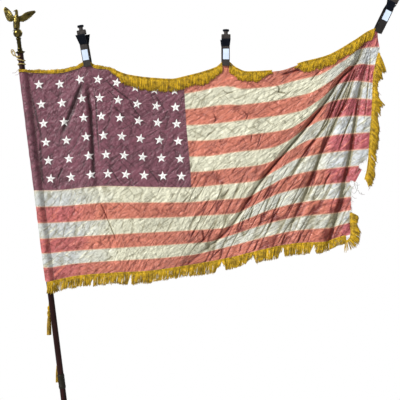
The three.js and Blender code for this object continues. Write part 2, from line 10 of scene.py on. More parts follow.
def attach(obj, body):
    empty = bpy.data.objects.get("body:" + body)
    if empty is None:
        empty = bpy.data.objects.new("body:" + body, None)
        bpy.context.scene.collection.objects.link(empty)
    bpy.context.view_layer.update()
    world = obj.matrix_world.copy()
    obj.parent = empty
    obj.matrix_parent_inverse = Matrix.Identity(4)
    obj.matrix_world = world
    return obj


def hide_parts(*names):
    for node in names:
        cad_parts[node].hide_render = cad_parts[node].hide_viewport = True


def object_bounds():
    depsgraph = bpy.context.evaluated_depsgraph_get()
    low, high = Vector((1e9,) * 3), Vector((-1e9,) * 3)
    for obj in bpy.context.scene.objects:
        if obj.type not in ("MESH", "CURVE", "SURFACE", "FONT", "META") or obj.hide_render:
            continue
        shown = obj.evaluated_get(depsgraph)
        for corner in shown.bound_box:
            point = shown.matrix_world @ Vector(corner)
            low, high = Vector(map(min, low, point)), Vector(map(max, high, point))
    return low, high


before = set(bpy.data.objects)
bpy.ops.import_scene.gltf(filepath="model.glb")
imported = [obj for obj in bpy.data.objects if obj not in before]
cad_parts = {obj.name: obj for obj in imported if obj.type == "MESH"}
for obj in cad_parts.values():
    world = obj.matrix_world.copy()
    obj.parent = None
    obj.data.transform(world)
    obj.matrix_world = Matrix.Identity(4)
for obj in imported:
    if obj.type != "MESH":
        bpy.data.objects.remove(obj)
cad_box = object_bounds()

bl_info = {
    "name": "Tattered flag",
    "version": (1, 0, 0),
    "blender": (4, 5, 0),
    "location": "View3D > Sidebar > Flag",
    "description": "Builds a worn, fringed flag on its leaning pole, held up by three spring clamps",
    "category": "Add Mesh",
}

# Lengths in the tables are millimetres; everything that reaches a mesh is in metres
MM = 0.001
STRIPES = 13
CANTON_STRIPES = 7
FLAG_LENGTH = 1524
FLAG_WIDTH = 914
CANTON_LENGTH = 660
CELL = 3.2

# Lines across the flag, as (seam, ((x, z), ...)): the top edge, three seams and the bottom edge
GUIDES = (
    (0, ((-874, -176), (-719, -181), (-620, -160), (-581, -138), (-545, -160), (-504, -164), (-412, -195),
         (-319, -208), (-227, -213), (-176, -203), (-40, -163), (0, -136), (40, -164), (88, -182),
         (218, -174), (325, -141), (424, -115), (542, -50), (600, -12), (638, 4))),
    (3, ((-845, -391), (-756, -400), (-668, -391), (-589, -375), (-516, -370), (-433, -377), (-354, -389),
         (-164, -401), (151, -370), (311, -342), (399, -291), (483, -225), (550, -215), (620, -224))),
    (7, ((-806, -676), (-727, -675), (-502, -657), (-319, -661), (-164, -663), (-17, -651), (126, -636),
         (206, -594), (311, -540), (458, -514), (602, -501))),
    (10, ((-777, -880), (-445, -859), (-151, -844), (-17, -835), (80, -800), (185, -758), (311, -727),
          (525, -703))),
    (13, ((-753, -1065), (-630, -1039), (-454, -1024), (-336, -1018), (-218, -1003), (-25, -971), (311, -900),
          (424, -895), (462, -880), (508, -866), (530, -858))),
)

# Lines down the flag: x where each crosses the five guides
SLEEVE_LINE = (-834, -807, -771, -745, -722)
CANTON_LINE = (-178, -166, -146, -205, -300)
FLY_LINE = (638, 620, 602, 525, 529)
COLUMN_LINES = (
    SLEEVE_LINE,
    (-612, -578, -553, -500, -470), (-590, -561, -538, -485, -455), (-550, -544, -523, -470, -440),
    CANTON_LINE,
    (560, 423, 133, -10, -196), (576, 441, 151, 8, -176), (592, 459, 169, 26, -156),
    (605, 521, 407, 311, 239), (618, 571, 525, 496, 440),
    FLY_LINE,
)

# The top edge's peak in the middle clamp: half width, height, and how many seams down it fades out
PEAK_HALF, PEAK_HEIGHT, PEAK_FADE = 40, 26, 0.9
# The fly's top corner hangs out beyond the right clamp: how far, at which seam, over how many seams, and how
# far in from the fly it starts
FLAP_OUT, FLAP_SEAM, FLAP_SEAMS, FLAP_BLEND = 15, 1.25, 0.6, 48

# Broad folds: half width, then (x, z, depth) from the top down
FOLDS = (
    (20, ((576, -60, 0), (555, -125, 14), (473, -216, 22), (441, -270, 22), (336, -410, 22), (151, -630, 20),
          (8, -840, 14), (-176, -995, 4))),
    (40, ((605, -90, 0), (570, -180, 8), (521, -224, 10), (407, -510, 10), (311, -727, 8), (239, -915, 4))),
    (28, ((618, -90, 0), (571, -222, 8), (525, -508, 10), (496, -708, 14), (440, -893, 14))),
    (22, ((-583, -200, 0), (-571, -260, 12), (-561, -374, 15), (-538, -658, 9), (-485, -860, 2))),
)

# Sharp pleats and creases: half width, depth, then each one's line as (x, z) points; depth fades at both ends
PLEATS = (
    (8, 9, (((567, -79), (520, -191), (464, -303), (425, -398), (355, -486), (296, -575), (231, -657)),)),
    (9, 9, (((585, -103), (543, -191), (508, -297), (467, -374), (396, -533), (353, -645), (323, -720),
        (290, -790), (238, -897)),)),
    (12, 9, (((602, -79), (590, -162), (567, -250), (543, -386), (526, -515), (502, -622), (481, -721),
        (465, -763), (452, -843), (423, -888)),)),
    (5, 5, (((612, -60), (604, -170), (590, -300), (575, -420)), ((550, -150), (488, -300), (440, -420)),
        ((417, -440), (400, -506), (380, -560)), ((191, -650), (174, -681), (150, -720)), ((151, -765),
        (147, -808), (132, -835)), ((205, -747), (196, -796), (180, -830)), ((76, -782), (67, -827)),
        ((120, -735), (100, -790), (90, -820)), ((-20, -920), (-60, -962)), ((67, -900), (57, -940)),
        ((-566, -210), (-545, -300), (-540, -420), (-528, -560)), ((-681, -573), (-700, -610),
        (-711, -640)), ((352, -220), (378, -190), (400, -168)), ((-525, -195), (-470, -245), (-412, -290),
        (-361, -325)),)),
    (5, 6, (((540, -330), (500, -430), (470, -520)), ((449, -586), (423, -631), (405, -690)), ((139, -880),
        (116, -935)), ((317, -845), (302, -897)), ((205, -224), (225, -245), (222, -262), (262, -270)),)),
    (6, 6, (((369, -470), (340, -525), (311, -561), (262, -640)), ((330, -689), (317, -737), (300, -770)),
        ((-100, -835), (-92, -880), (-110, -905)), ((252, -855), (231, -910)), ((-820, -262), (-800, -342),
        (-785, -412), (-768, -471)), ((479, -223), (458, -275), (432, -359), (395, -433), (378, -485)),
        ((568, -133), (542, -170), (521, -222), (500, -296), (479, -359)), ((311, -748), (279, -811),
        (264, -863)), ((216, -758), (195, -800), (170, -850)), ((237, -685), (211, -748), (190, -790)),)),
    (5, 4, (((-120, -820), (-150, -880)),)),
    (4, 4, (((-60, -700), (-105, -760)), ((20, -660), (-30, -735)), ((-150, -690), (-190, -740)),
        ((-504, -246), (-467, -280), (-440, -310)), ((-476, -316), (-432, -362), (-410, -395)),
        ((-338, -570), (-272, -652)), ((-538, -700), (-500, -790), (-470, -860), (-450, -920)),
        ((-20, -250), (6, -268), (40, -262)), ((60, -330), (92, -360), (80, -392)), ((-55, -345),
        (-40, -380), (-62, -400)), ((150, -430), (140, -470), (128, -500)), ((110, -430), (104, -480)),
        ((-475, -326), (-448, -345), (-424, -368)), ((-420, -338), (-365, -378), (-311, -412)),
        ((-302, -271), (-276, -305), (-252, -347)), ((-302, -615), (-277, -649)),)),
    (4, 3, (((60, -560), (20, -610)), ((-110, -480), (-70, -440), (-40, -420)),)),
    (14, 10, (((-598, -210), (-622, -275), (-645, -337), (-668, -392), (-692, -450)),)),
    (11, 4.5, (((-588, -190), (-576, -300), (-568, -342), (-562, -449), (-554, -610), (-540, -690)),)),
    (7, 7, (((-784, -450), (-778, -520), (-772, -620), (-758, -668)), ((222, -192), (262, -182),
        (300, -170), (335, -178)),)),
    (4, 5, (((-412, -288), (-376, -348), (-345, -375)), ((-490, -575), (-440, -652)),)),
    (3, 3, (((-183, -560), (-220, -600)), ((-330, -250), (-300, -300), (-292, -340)), ((-235, -599),
        (-205, -580), (-185, -557)),)),
    (6, 7, (((447, -370), (420, -454), (405, -517), (388, -559), (374, -622), (353, -685), (327, -737)),)),
    (8, 6, (((-815, -360), (-806, -447), (-798, -548), (-773, -655)),)),
    (10, 9, (((508, -680), (490, -730), (468, -768), (455, -820), (441, -874), (425, -915)),)),
)

# Soft rolls of the hanging cloth, which fade out at the top and at the hoist
ROLL_TOP, ROLL_HOIST, ROLL_FADE = -175, -800, 200
ROLLS = ((7, 0.45, 95, 0), (5, -0.2, 170, 1))

# The hem sleeve round the pole, as (across, depth) from the pole's axis
SLEEVE = ((13.5, -8.4), (7.5, -14.2), (-1, -16.1), (-9.2, -13.4), (-15, -6.2), (-16.6, 1.5), (-14.2, 10.4),
          (-7.2, 17.6), (2, 20.9), (11.3, 17.6), (16.8, 10), (19.4, 2.2))
STITCH_DEPTH = -0.9
SLEEVE_FRONT = -16.1
SLEEVE_SIDE = (16, 44)
HEM_OUT, HEM_BLEND = 20, 74
SLEEVE_GIRTH = 80

# The pole, its fittings and its cord
POLE_RADIUS = 12.5
POLE_LENGTH = 2438
POLE_JOINT_AT = 1372
# The metal sleeve at the joint: from the wood to its inside and outside, and how far down and up it reaches
SLEEVE_GAP, SLEEVE_WALL, SLEEVE_BELOW, SLEEVE_ABOVE = 0.3, 1.8, 45, 15
RUBBER, RUBBER_WORN = (0.03, 0.03, 0.03), (0.05, 0.048, 0.045)
POLE_LEAN = math.atan(0.1257)
POLE_TOP = (-863.3, 0, -100.8)
FOOT_HEIGHT = 25
CORD_RADIUS = 2.25
CORD_OFF_AXIS = POLE_RADIUS + 1 + CORD_RADIUS
TASSEL_LENGTH = 123

# Clamps: name, where the jaws bite as (x, z), lean to the right in degrees, sideways shift of the back arm,
# and how much further up the grips and hanger, and the label, sit than on the middle one
CLAMP_HEIGHT = 153
JAW_FRONT, JAW_BACK = -4.8, 1.9
CLAMPS = (("left", (-581, -156), -10, 5, 23, 0), ("middle", (0, -153), 0, -4, 0, 0),
          ("right", (638, -14), 26, -7, 29, 30))

# Stars: fractions across the canton, and the seam number of each row
STARS_ACROSS = (0.065, 0.2, 0.33, 0.445, 0.565, 0.687, 0.812, 0.937)
STAR_ROWS, FIRST_STAR_ROW, STAR_ROW_STEP = 6, 0.71, 1.116

# Torn holes near the fly, as outlines in the flag's plane
TEARS = (
    ((556, -572), (560, -563), (571, -559), (580, -551), (592, -547), (603, -541), (640, -541), (640, -607),
     (596, -602), (588, -594), (580, -597), (570, -590), (560, -584)),
    ((521, -640), (526, -634), (534, -636), (541, -642), (542, -652), (535, -660), (526, -660), (520, -652)),
    ((510, -868), (518, -874), (516, -882), (508, -880)),
)


# ---------------- curves and noise

def ease(t):
    return t * t * (3 - 2 * t)


def share(value, low, high):
    """How far value has gone from low to high, eased, from 0 to 1."""
    return ease(np.clip((value - low) / (high - low), 0, 1))


class SmoothLine:
    """A smooth value along a position, through given (position, value) points, without overshoot."""

    def __init__(self, points):
        points = np.array(points, float)
        self.at, self.value = points[:, 0], points[:, 1]
        rise = np.diff(self.value) / np.diff(self.at)
        before, after = rise[:-1], rise[1:]
        together = np.where(before + after == 0, 1, before + after)
        middle = np.where(before * after > 0, 2 * before * after / together, 0)
        self.slope = np.concatenate(([rise[0]], middle, [rise[-1]]))

    def __call__(self, where):
        i = np.clip(np.searchsorted(self.at, where, side="left") - 1, 0, len(self.at) - 2)
        span = self.at[i + 1] - self.at[i]
        t = np.clip((where - self.at[i]) / span, 0, 1)
        lead = self.slope[i] * (1 - t) - self.slope[i + 1] * t
        return self.value[i] + (self.value[i + 1] - self.value[i]) * ease(t) + span * t * (1 - t) * lead


NOISE_SIDE = 64
NOISE = [np.random.default_rng(seed).uniform(-1, 1, (NOISE_SIDE, NOISE_SIDE)) for seed in range(12)]


def noise(u, v, seed):
    """Smooth noise from -1 to 1, one lattice cell per unit."""
    table = NOISE[seed]
    iu, iv = np.floor(u).astype(int), np.floor(v).astype(int)
    fu, fv = ease(u - iu), ease(v - iv)
    iu, iv = iu % NOISE_SIDE, iv % NOISE_SIDE
    ju, jv = (iu + 1) % NOISE_SIDE, (iv + 1) % NOISE_SIDE
    low = table[iu, iv] * (1 - fu) + table[ju, iv] * fu
    high = table[iu, jv] * (1 - fu) + table[ju, jv] * fu
    return low * (1 - fv) + high * fv


def creased(x, z, angle, length, width, seed):
    """Sharp-edged streaks along an angle in degrees: 1 on a crease, near 0 between them."""
    c, s = math.cos(math.radians(angle)), math.sin(math.radians(angle))
    along, across = x * c + z * s, z * c - x * s
    bend = 0.35 * noise(along / length, across / length, seed + 1)
    ridge = 1 - np.abs(noise(along / length, across / width + bend, seed)) * 2.2
    return np.clip(ridge, 0, 1) ** 2


# ---------------- the hanging cloth

GUIDE_HEIGHTS = [SmoothLine(line) for _, line in GUIDES]
SEAMS = [seam for seam, _ in GUIDES]


class Fold:
    """A trough that runs down the cloth."""

    def __init__(self, half, line):
        rising = line[::-1]
        self.half, self.low, self.high = half, rising[0][1], rising[-1][1]
        self.x = SmoothLine([(z, x) for x, z, _ in rising])
        self.depth = SmoothLine([(z, depth) for _, z, depth in rising])

    def level(self, z):
        return np.clip(z, self.low, self.high)

    def middle(self, z):
        """x of the trough's bottom at z."""
        return self.x(self.level(z))

    def __call__(self, x, z):
        away = np.abs(x - self.middle(z)) / self.half
        return np.where(z < self.high, self.depth(self.level(z)) * np.clip(1 - away, 0, None), 0)


FOLD_SHAPES = [Fold(half, line) for half, line in FOLDS]
MAIN_FOLD = FOLD_SHAPES[0]


def column_point(xs, s):
    """x and z of the column that crosses the guides at xs, at seam number s."""
    heights = [float(GUIDE_HEIGHTS[g](xs[g])) for g in range(len(SEAMS))]
    peak = PEAK_HEIGHT * max(0, 1 - abs(xs[0]) / PEAK_HALF)
    heights[0] -= peak
    flap = FLAP_OUT * share(xs[0], FLY_LINE[0] - FLAP_BLEND, FLY_LINE[0])
    flap = flap * np.exp(-((s - FLAP_SEAM) / FLAP_SEAMS) ** 2)
    z = SmoothLine(list(zip(SEAMS, heights)))(s) + peak * (1 - share(s, 0, PEAK_FADE))
    return SmoothLine(list(zip(SEAMS, xs)))(s) + flap, z


def column_between(first, last, fraction):
    return tuple(a + (b - a) * fraction for a, b in zip(first, last))


def pole_axis_x(z):
    return POLE_TOP[0] - math.tan(POLE_LEAN) * (z - POLE_TOP[2])


def broad_depth(x, z):
    """How far behind the flag's plane the cloth hangs at x, z, without its fine creases."""
    depth = sum(fold(x, z) for fold in FOLD_SHAPES)
    hanging = share(-z, -ROLL_TOP, -ROLL_TOP + ROLL_FADE) * share(x, ROLL_HOIST, ROLL_HOIST + ROLL_FADE)
    for height, slant, width, phase in ROLLS:
        depth = depth + hanging * height * np.sin((x + slant * z) / width + phase)
    return depth


PLEAT_LINES = [(half, depth, np.array(line, float)) for half, depth, lines in PLEATS for line in lines]


def pleat_depth(x, z):
    """Depth of the sharp pleats at x, z."""
    x, z = np.asarray(x, float), np.asarray(z, float)
    total = np.zeros(np.broadcast(x, z).shape)
    for half, depth, points in PLEAT_LINES:
        near = (x > points[:, 0].min() - half) & (x < points[:, 0].max() + half)
        near &= (z > points[:, 1].min() - half) & (z < points[:, 1].max() + half)
        if not near.any():
            continue
        px, pz = x[near], z[near]
        steps = np.hypot(*np.diff(points, axis=0).T)
        run = np.concatenate(([0], np.cumsum(steps)))
        best, place = np.full(px.shape, 1e9), np.zeros(px.shape)
        for i, (a, b) in enumerate(zip(points[:-1], points[1:])):
            t = np.clip(((px - a[0]) * (b - a)[0] + (pz - a[1]) * (b - a)[1]) / steps[i] ** 2, 0, 1)
            away = np.hypot(px - a[0] - t * (b - a)[0], pz - a[1] - t * (b - a)[1])
            place = np.where(away < best, run[i] + t * steps[i], place)
            best = np.minimum(best, away)
        ends = np.clip(np.minimum(place, run[-1] - place) / (0.3 * run[-1]), 0, 1)
        fall = np.clip(1 - best / half, 0, 1)
        total[near] = np.maximum(total[near], depth * ease(ends) * fall ** 1.3)
    return total


def beyond_main_fold(x, z):
    """1 to the right of the main fold, 0 to its left."""
    return share(x - MAIN_FOLD.middle(z), -10, 30)


def faded_and_shaded(x, z):
    """How the cloth has faded, and on the white stripes how much painted shade it gets: 0 left of the main
    fold, 0.5 beyond it, 1 near the fly.
    """
    edge = 10 * noise(x / 40, z / 40, 1)
    faded = 0.5 * beyond_main_fold(x, z) + 0.5 * share(x + edge, 395, 465) * share(z, -860, -600)
    faded = np.maximum(faded, share(x + edge, 470, 500) * share(-z, 740, 790))
    return np.maximum(faded, 0.85 * share(-x - 3 * edge, 420, 680) * share(-z, 620, 720))


def calm(x, z):
    """0 in the clamps' jaws, 1 away from them."""
    quiet = 1.0
    for _, tip, *_ in CLAMPS:
        quiet = quiet * share(np.hypot(x - tip[0], z - tip[1]), 20, 70)
    return quiet


def slanting_creases(x, z):
    """The long slanting creases low down and towards the fly: 1 on a crease, 0 away from them."""
    return creased(x, z, 62, 130, 17, 9) * share(-z, 480, 700) * share(x, -330, -60)


def crinkle(x, z):
    """The fine creases of washed and folded thin cloth, in millimetres towards the back."""
    right = beyond_main_fold(x, z)
    patch = 0.55 + 0.45 * noise(x / 90, z / 90, 3)
    depth = 2.6 * creased(x, z, 28, 58, 13, 0) * patch
    depth = depth - 2.3 * creased(x, z, -38, 52, 12, 4) * (1.15 - patch)
    depth = depth + 2.0 * creased(x, z, 68, 48, 11, 7) * (0.6 + 0.5 * noise(x / 70, z / 70, 2))
    depth = depth - 1.6 * creased(x, z, 8, 44, 10, 2) * (0.55 - 0.5 * noise(x / 60, z / 60, 6))
    depth = depth + 1.3 * noise(x / 15, z / 15, 5) + 0.6 * noise(x / 7, z / 7, 6)
    corner_x, corner_z = GUIDES[0][1][-1]
    reach, turn = np.hypot(x - corner_x, z - corner_z), np.arctan2(corner_x - x, corner_z - z)
    fan = noise(turn * 11, reach / 700, 8) * 5.5 + noise(turn * 27, reach / 400, 9) * 3.2
    depth = depth + fan * right * share(reach, 60, 260)
    return depth + 4.2 * slanting_creases(x, z)


def past_hem(x, z):
    """0 at the sleeve's stitches, 1 where the cloth hangs free of them."""
    return ease(np.clip((x - pole_axis_x(z) - HEM_OUT) / HEM_BLEND, 0, 1))


def cloth_y(x, z):
    """The cloth's depth with all its folds, in millimetres."""
    x, z = np.asarray(x, float), np.asarray(z, float)
    depth = broad_depth(x, z) + (pleat_depth(x, z) + crinkle(x, z)) * calm(x, z)
    return STITCH_DEPTH + (depth - STITCH_DEPTH) * past_hem(x, z)


def face_y(x, z):
    """The front of the cloth, or of the sleeve where the pole is."""
    away = np.clip((x - pole_axis_x(z) - SLEEVE_SIDE[0]) / (SLEEVE_SIDE[1] - SLEEVE_SIDE[0]), 0, 1)
    return SLEEVE_FRONT + (cloth_y(x, z) - SLEEVE_FRONT) * away


# ---------------- mesh building

def placed(name, data):
    made = bpy.data.objects.new(name, data)
    bpy.context.scene.collection.objects.link(made)
    return made


class Shape:
    """Points and faces gathered part by part, in millimetres, before they become one object."""

    def __init__(self):
        self.points, self.faces, self.count, self.marks = [], [], 0, []

    def add(self, points, faces, matrix=None, mark=0.0):
        points = np.asarray(points, float).reshape(-1, 3)
        if matrix is not None:
            m = np.array(matrix)
            points = points @ m[:3, :3].T + m[:3, 3]
        self.points.append(points)
        self.faces.extend(tuple(i + self.count for i in face) for face in faces)
        self.marks.append(np.broadcast_to(np.asarray(mark, float), (len(points),)))
        self.count += len(points)

    def build(self, name, surface, sharp=40, mark_name=None):
        mesh = bpy.data.meshes.new(name)
        mesh.from_pydata((np.concatenate(self.points) * MM).tolist(), [], self.faces)
        mesh.validate()
        mesh.polygons.foreach_set("use_smooth", [True] * len(mesh.polygons))
        if sharp:
            mesh.set_sharp_from_angle(angle=math.radians(sharp))
        if mark_name:
            attribute = mesh.attributes.new(mark_name, "FLOAT", "POINT")
            attribute.data.foreach_set("value", np.concatenate(self.marks).astype(np.float32))
        mesh.materials.append(surface)
        return placed(name, mesh)


def settle(piece, slot, *nodes):
    """Joins a finished piece to the object: its body and the nodes that it stands for. slot is not used."""
    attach(piece, "root")
    if nodes:
        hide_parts(*nodes)
    return piece


def net_faces(rows, columns, closed=False):
    """The faces of a net of points, row by row, as an array of quads."""
    r, c = np.meshgrid(np.arange(rows - 1), np.arange(columns if closed else columns - 1), indexing="ij")
    r, c = r.ravel(), c.ravel()
    after = (c + 1) % columns
    above, below = r * columns, (r + 1) * columns
    return np.stack([above + c, above + after, below + after, below + c], 1)


def unit(v):
    return v / np.maximum(np.linalg.norm(v, axis=-1, keepdims=True), 1e-12)


def rings_round(lines, angle):
    """At each step of a line or lines, the unit vectors at these angles square to its run."""
    along = unit(np.gradient(lines, axis=-2))
    helper = np.where(np.abs(along[..., 1:2]) > 0.9, [1.0, 0, 0], [0, 1.0, 0])
    one = unit(np.cross(along, helper))
    two = np.cross(along, one)
    return one[..., None, :] * np.cos(angle)[:, None] + two[..., None, :] * np.sin(angle)[:, None]


def add_strands(shape, lines, radii, sides, marks=0.0, matrix=None):
    """Adds round strands, closed at both ends: lines is (strand, step, 3), with a mark for each strand.

    The radii are one for all, one for each step, or (strand, step).
    """
    lines = np.asarray(lines, float)
    count, steps, _ = lines.shape
    radii = np.broadcast_to(np.asarray(radii, float), (count, steps))
    ring = rings_round(lines, np.arange(sides) / sides * 2 * math.pi)
    points = (lines[:, :, None] + ring * radii[:, :, None, None]).reshape(-1, 3)
    body = net_faces(steps, sides, closed=True)
    walls = (body[None] + (np.arange(count) * steps * sides)[:, None, None]).reshape(-1, 4)
    first = np.arange(sides)[::-1]
    last = np.arange(sides) + (steps - 1) * sides
    starts = (np.arange(count) * steps * sides)[:, None]
    caps = np.concatenate([first[None] + starts, last[None] + starts])
    values = np.repeat(np.broadcast_to(np.asarray(marks, float), (count,)), steps * sides)
    shape.add(points, walls.tolist() + caps.tolist(), matrix, values)


def run_along(line):
    """How far along a line each of its points lies."""
    return np.concatenate(([0], np.cumsum(np.linalg.norm(np.diff(line, axis=0), axis=1))))


SPLINE_CUTS = 24


def spline(points, steps):
    """A smooth line through given points, as an array of steps points evenly spaced along it."""
    p = np.array(points, float)
    padded = np.concatenate(([2 * p[0] - p[1]], p, [2 * p[-1] - p[-2]]))
    fine = []
    for a, b, c, d in zip(padded[:-3], padded[1:-2], padded[2:-1], padded[3:]):
        t = np.linspace(0, 1, SPLINE_CUTS, endpoint=False)[:, None]
        fine.append(0.5 * (2 * b + (c - a) * t + (2 * a - 5 * b + 4 * c - d) * t ** 2
                           + (3 * b - a - 3 * c + d) * t ** 3))
    fine = np.concatenate(fine + [p[-1:]])
    run = run_along(fine)
    return np.stack([np.interp(np.linspace(0, run[-1], steps), run, fine[:, k]) for k in range(3)], 1)


def length_of(line):
    return float(np.linalg.norm(np.diff(line, axis=0), axis=1).sum())


def turned(profile, sides=48):
    """A solid of revolution about Z from (radius, height) points; ends on the axis are single points."""
    points, faces, rings = [], [], []
    for radius, height in profile:
        start = len(points)
        if radius < 1e-6:
            points.append((0, 0, height))
            rings.append([start])
            continue
        for k in range(sides):
            turn = 2 * math.pi * k / sides
            points.append((radius * math.cos(turn), radius * math.sin(turn), height))
        rings.append(list(range(start, start + sides)))
    for low, high in zip(rings[:-1], rings[1:]):
        for k in range(sides):
            after = (k + 1) % sides
            if len(low) == 1:
                faces.append((low[0], high[after], high[k]))
            elif len(high) == 1:
                faces.append((low[k], low[after], high[0]))
            else:
                faces.append((low[k], low[after], high[after], high[k]))
    return points, faces


def arc(centre, radius, start, end, steps):
    """Points on an arc in a (radius, height) profile, angles in degrees."""
    turn = np.radians(np.linspace(start, end, steps))
    return [(centre[0] + radius * math.cos(a), centre[1] + radius * math.sin(a)) for a in turn]


def ball_profile(radius, steps):
    """The (radius, height) profile of a ball round the origin."""
    profile = arc((0, 0), radius, -90, 90, steps)
    profile[0], profile[-1] = (0, -radius), (0, radius)
    return profile


def extruded(outline, width, shift, bevel):
    """A plate with a (depth, height) outline, solid across X, with rounded edges."""
    plate = bmesh.new()
    sides = []
    for x in (shift - width / 2, shift + width / 2):
        sides.append([plate.verts.new((x, y, z)) for y, z in outline])
    plate.faces.new(sides[0])
    plate.faces.new(sides[1][::-1])
    for i in range(len(outline)):
        j = (i + 1) % len(outline)
        plate.faces.new((sides[0][j], sides[0][i], sides[1][i], sides[1][j]))
    bmesh.ops.recalc_face_normals(plate, faces=plate.faces)
    bmesh.ops.bevel(plate, geom=plate.edges[:], offset=bevel, segments=2, affect="EDGES", clamp_overlap=True)
    plate.verts.index_update()
    points = [v.co[:] for v in plate.verts]
    faces = [[v.index for v in face.verts] for face in plate.faces]
    plate.free()
    return points, faces


def shifted(x, y, z):
    return Matrix.Translation((x, y, z))


def spun(degrees, axis):
    return Matrix.Rotation(math.radians(degrees), 4, axis)


def pole_frame(height=0.0):
    """The pole's own frame, X across and Z along it, its origin at that height above the pole's top."""
    lean = Matrix.Rotation(-POLE_LEAN, 4, "Y")
    return Matrix.Translation(POLE_TOP) @ lean @ shifted(0, 0, height)


# ---------------- materials

class Surface:
    """A material built node by node round one principled shader."""

    def __init__(self, name, roughness=0.6, metallic=0.0, **sockets):
        self.material = bpy.data.materials.new(name)
        self.material.use_nodes = True
        self.tree = self.material.node_tree
        self.shader = self.tree.nodes["Principled BSDF"]
        self.shader.inputs["Roughness"].default_value = roughness
        self.shader.inputs["Metallic"].default_value = metallic
        for socket, value in sockets.items():
            self.shader.inputs[socket.replace("_", " ")].default_value = value

    def node(self, kind, settings=None, **inputs):
        made = self.tree.nodes.new(kind)
        for key, value in (settings or {}).items():
            setattr(made, key, value)
        for key, value in inputs.items():
            self.feed(made.inputs[key.replace("_", " ")], value)
        return made

    def feed(self, socket, value):
        if isinstance(value, bpy.types.NodeSocket):
            self.tree.links.new(value, socket)
        else:
            socket.default_value = value

    def place(self, stretch=(1, 1, 1), flat=None, turn=0.0):
        """Coordinates in metres, turned, then stretched: the flat ones if named, else the object's."""
        if flat:
            source = self.node("ShaderNodeUVMap", {"uv_map": flat}).outputs[0]
        else:
            source = self.node("ShaderNodeTexCoord").outputs["Object"]
        mapping = self.node("ShaderNodeMapping", {"vector_type": "TEXTURE"}, Vector=source)
        mapping.inputs["Scale"].default_value = tuple(1 / amount for amount in stretch)
        mapping.inputs["Rotation"].default_value = (0, 0, turn)
        return mapping.outputs[0]

    def noise(self, where, scale, detail=3.0, roughness=0.55, distortion=0.0):
        made = self.node("ShaderNodeTexNoise", Vector=where, Scale=scale, Detail=detail, Roughness=roughness,
                         Distortion=distortion)
        return made.outputs["Fac"]

    def wave(self, where, scale, direction="X", distortion=0.0):
        made = self.node("ShaderNodeTexWave", {"wave_type": "BANDS", "bands_direction": direction},
                         Vector=where, Scale=scale, Distortion=distortion)
        return made.outputs["Fac"]

    def strokes(self, stretch, turn, low, high):
        """Short soft strokes on the flat cloth, 1 on a stroke: a noise's peaks, drawn out along one way."""
        drawn_out = self.noise(self.place(stretch, "flat", turn), 1.0, 2.0, 0.5, 0.6)
        return self.between(drawn_out, low, high)

    def mark(self, name):
        return self.node("ShaderNodeAttribute", {"attribute_name": name}).outputs["Fac"]

    def between(self, value, low, high, out_low=0.0, out_high=1.0):
        made = self.node("ShaderNodeMapRange", Value=value)
        sockets = ("From Min", "From Max", "To Min", "To Max")
        for socket, number in zip(sockets, (low, high, out_low, out_high)):
            made.inputs[socket].default_value = number
        return made.outputs[0]

    def mix(self, factor, one, two, blend="MIX"):
        made = self.node("ShaderNodeMix", {"data_type": "RGBA", "blend_type": blend})
        for socket, value in ((made.inputs[0], factor), (made.inputs[6], one), (made.inputs[7], two)):
            self.feed(socket, (*value, 1) if isinstance(value, (tuple, Color)) else value)
        return made.outputs[2]

    def maths(self, operation, one, two):
        made = self.node("ShaderNodeMath", {"operation": operation})
        self.feed(made.inputs[0], one)
        self.feed(made.inputs[1], two)
        return made.outputs[0]

    def bump(self, height, depth, strength=1.0, under=None):
        made = self.node("ShaderNodeBump", Height=height, Strength=strength)
        made.inputs["Distance"].default_value = depth
        if under:
            self.tree.links.new(under, made.inputs["Normal"])
        return made.outputs[0]

    def finish(self, colour=None, roughness=None, normal=None):
        for socket, value in (("Base Color", colour), ("Roughness", roughness), ("Normal", normal)):
            if value is not None:
                self.feed(self.shader.inputs[socket], value)
        return self.material


def tone(colour, factor):
    return tuple(min(1.0, c * factor) for c in colour)


# Painted crease shade, as dark strokes: how many to the metre along and across, their turn, where they start
# and peak, and how dark
CREASE_SHADE_STROKES = (((16, 80, 1), 0.75, 0.55, 0.67, 0.6), ((20, 95, 1), 2.35, 0.57, 0.69, 0.5),
                  ((14, 70, 1), 1.25, 0.57, 0.69, 0.6), ((18, 90, 1), 0.2, 0.59, 0.71, 0.5))


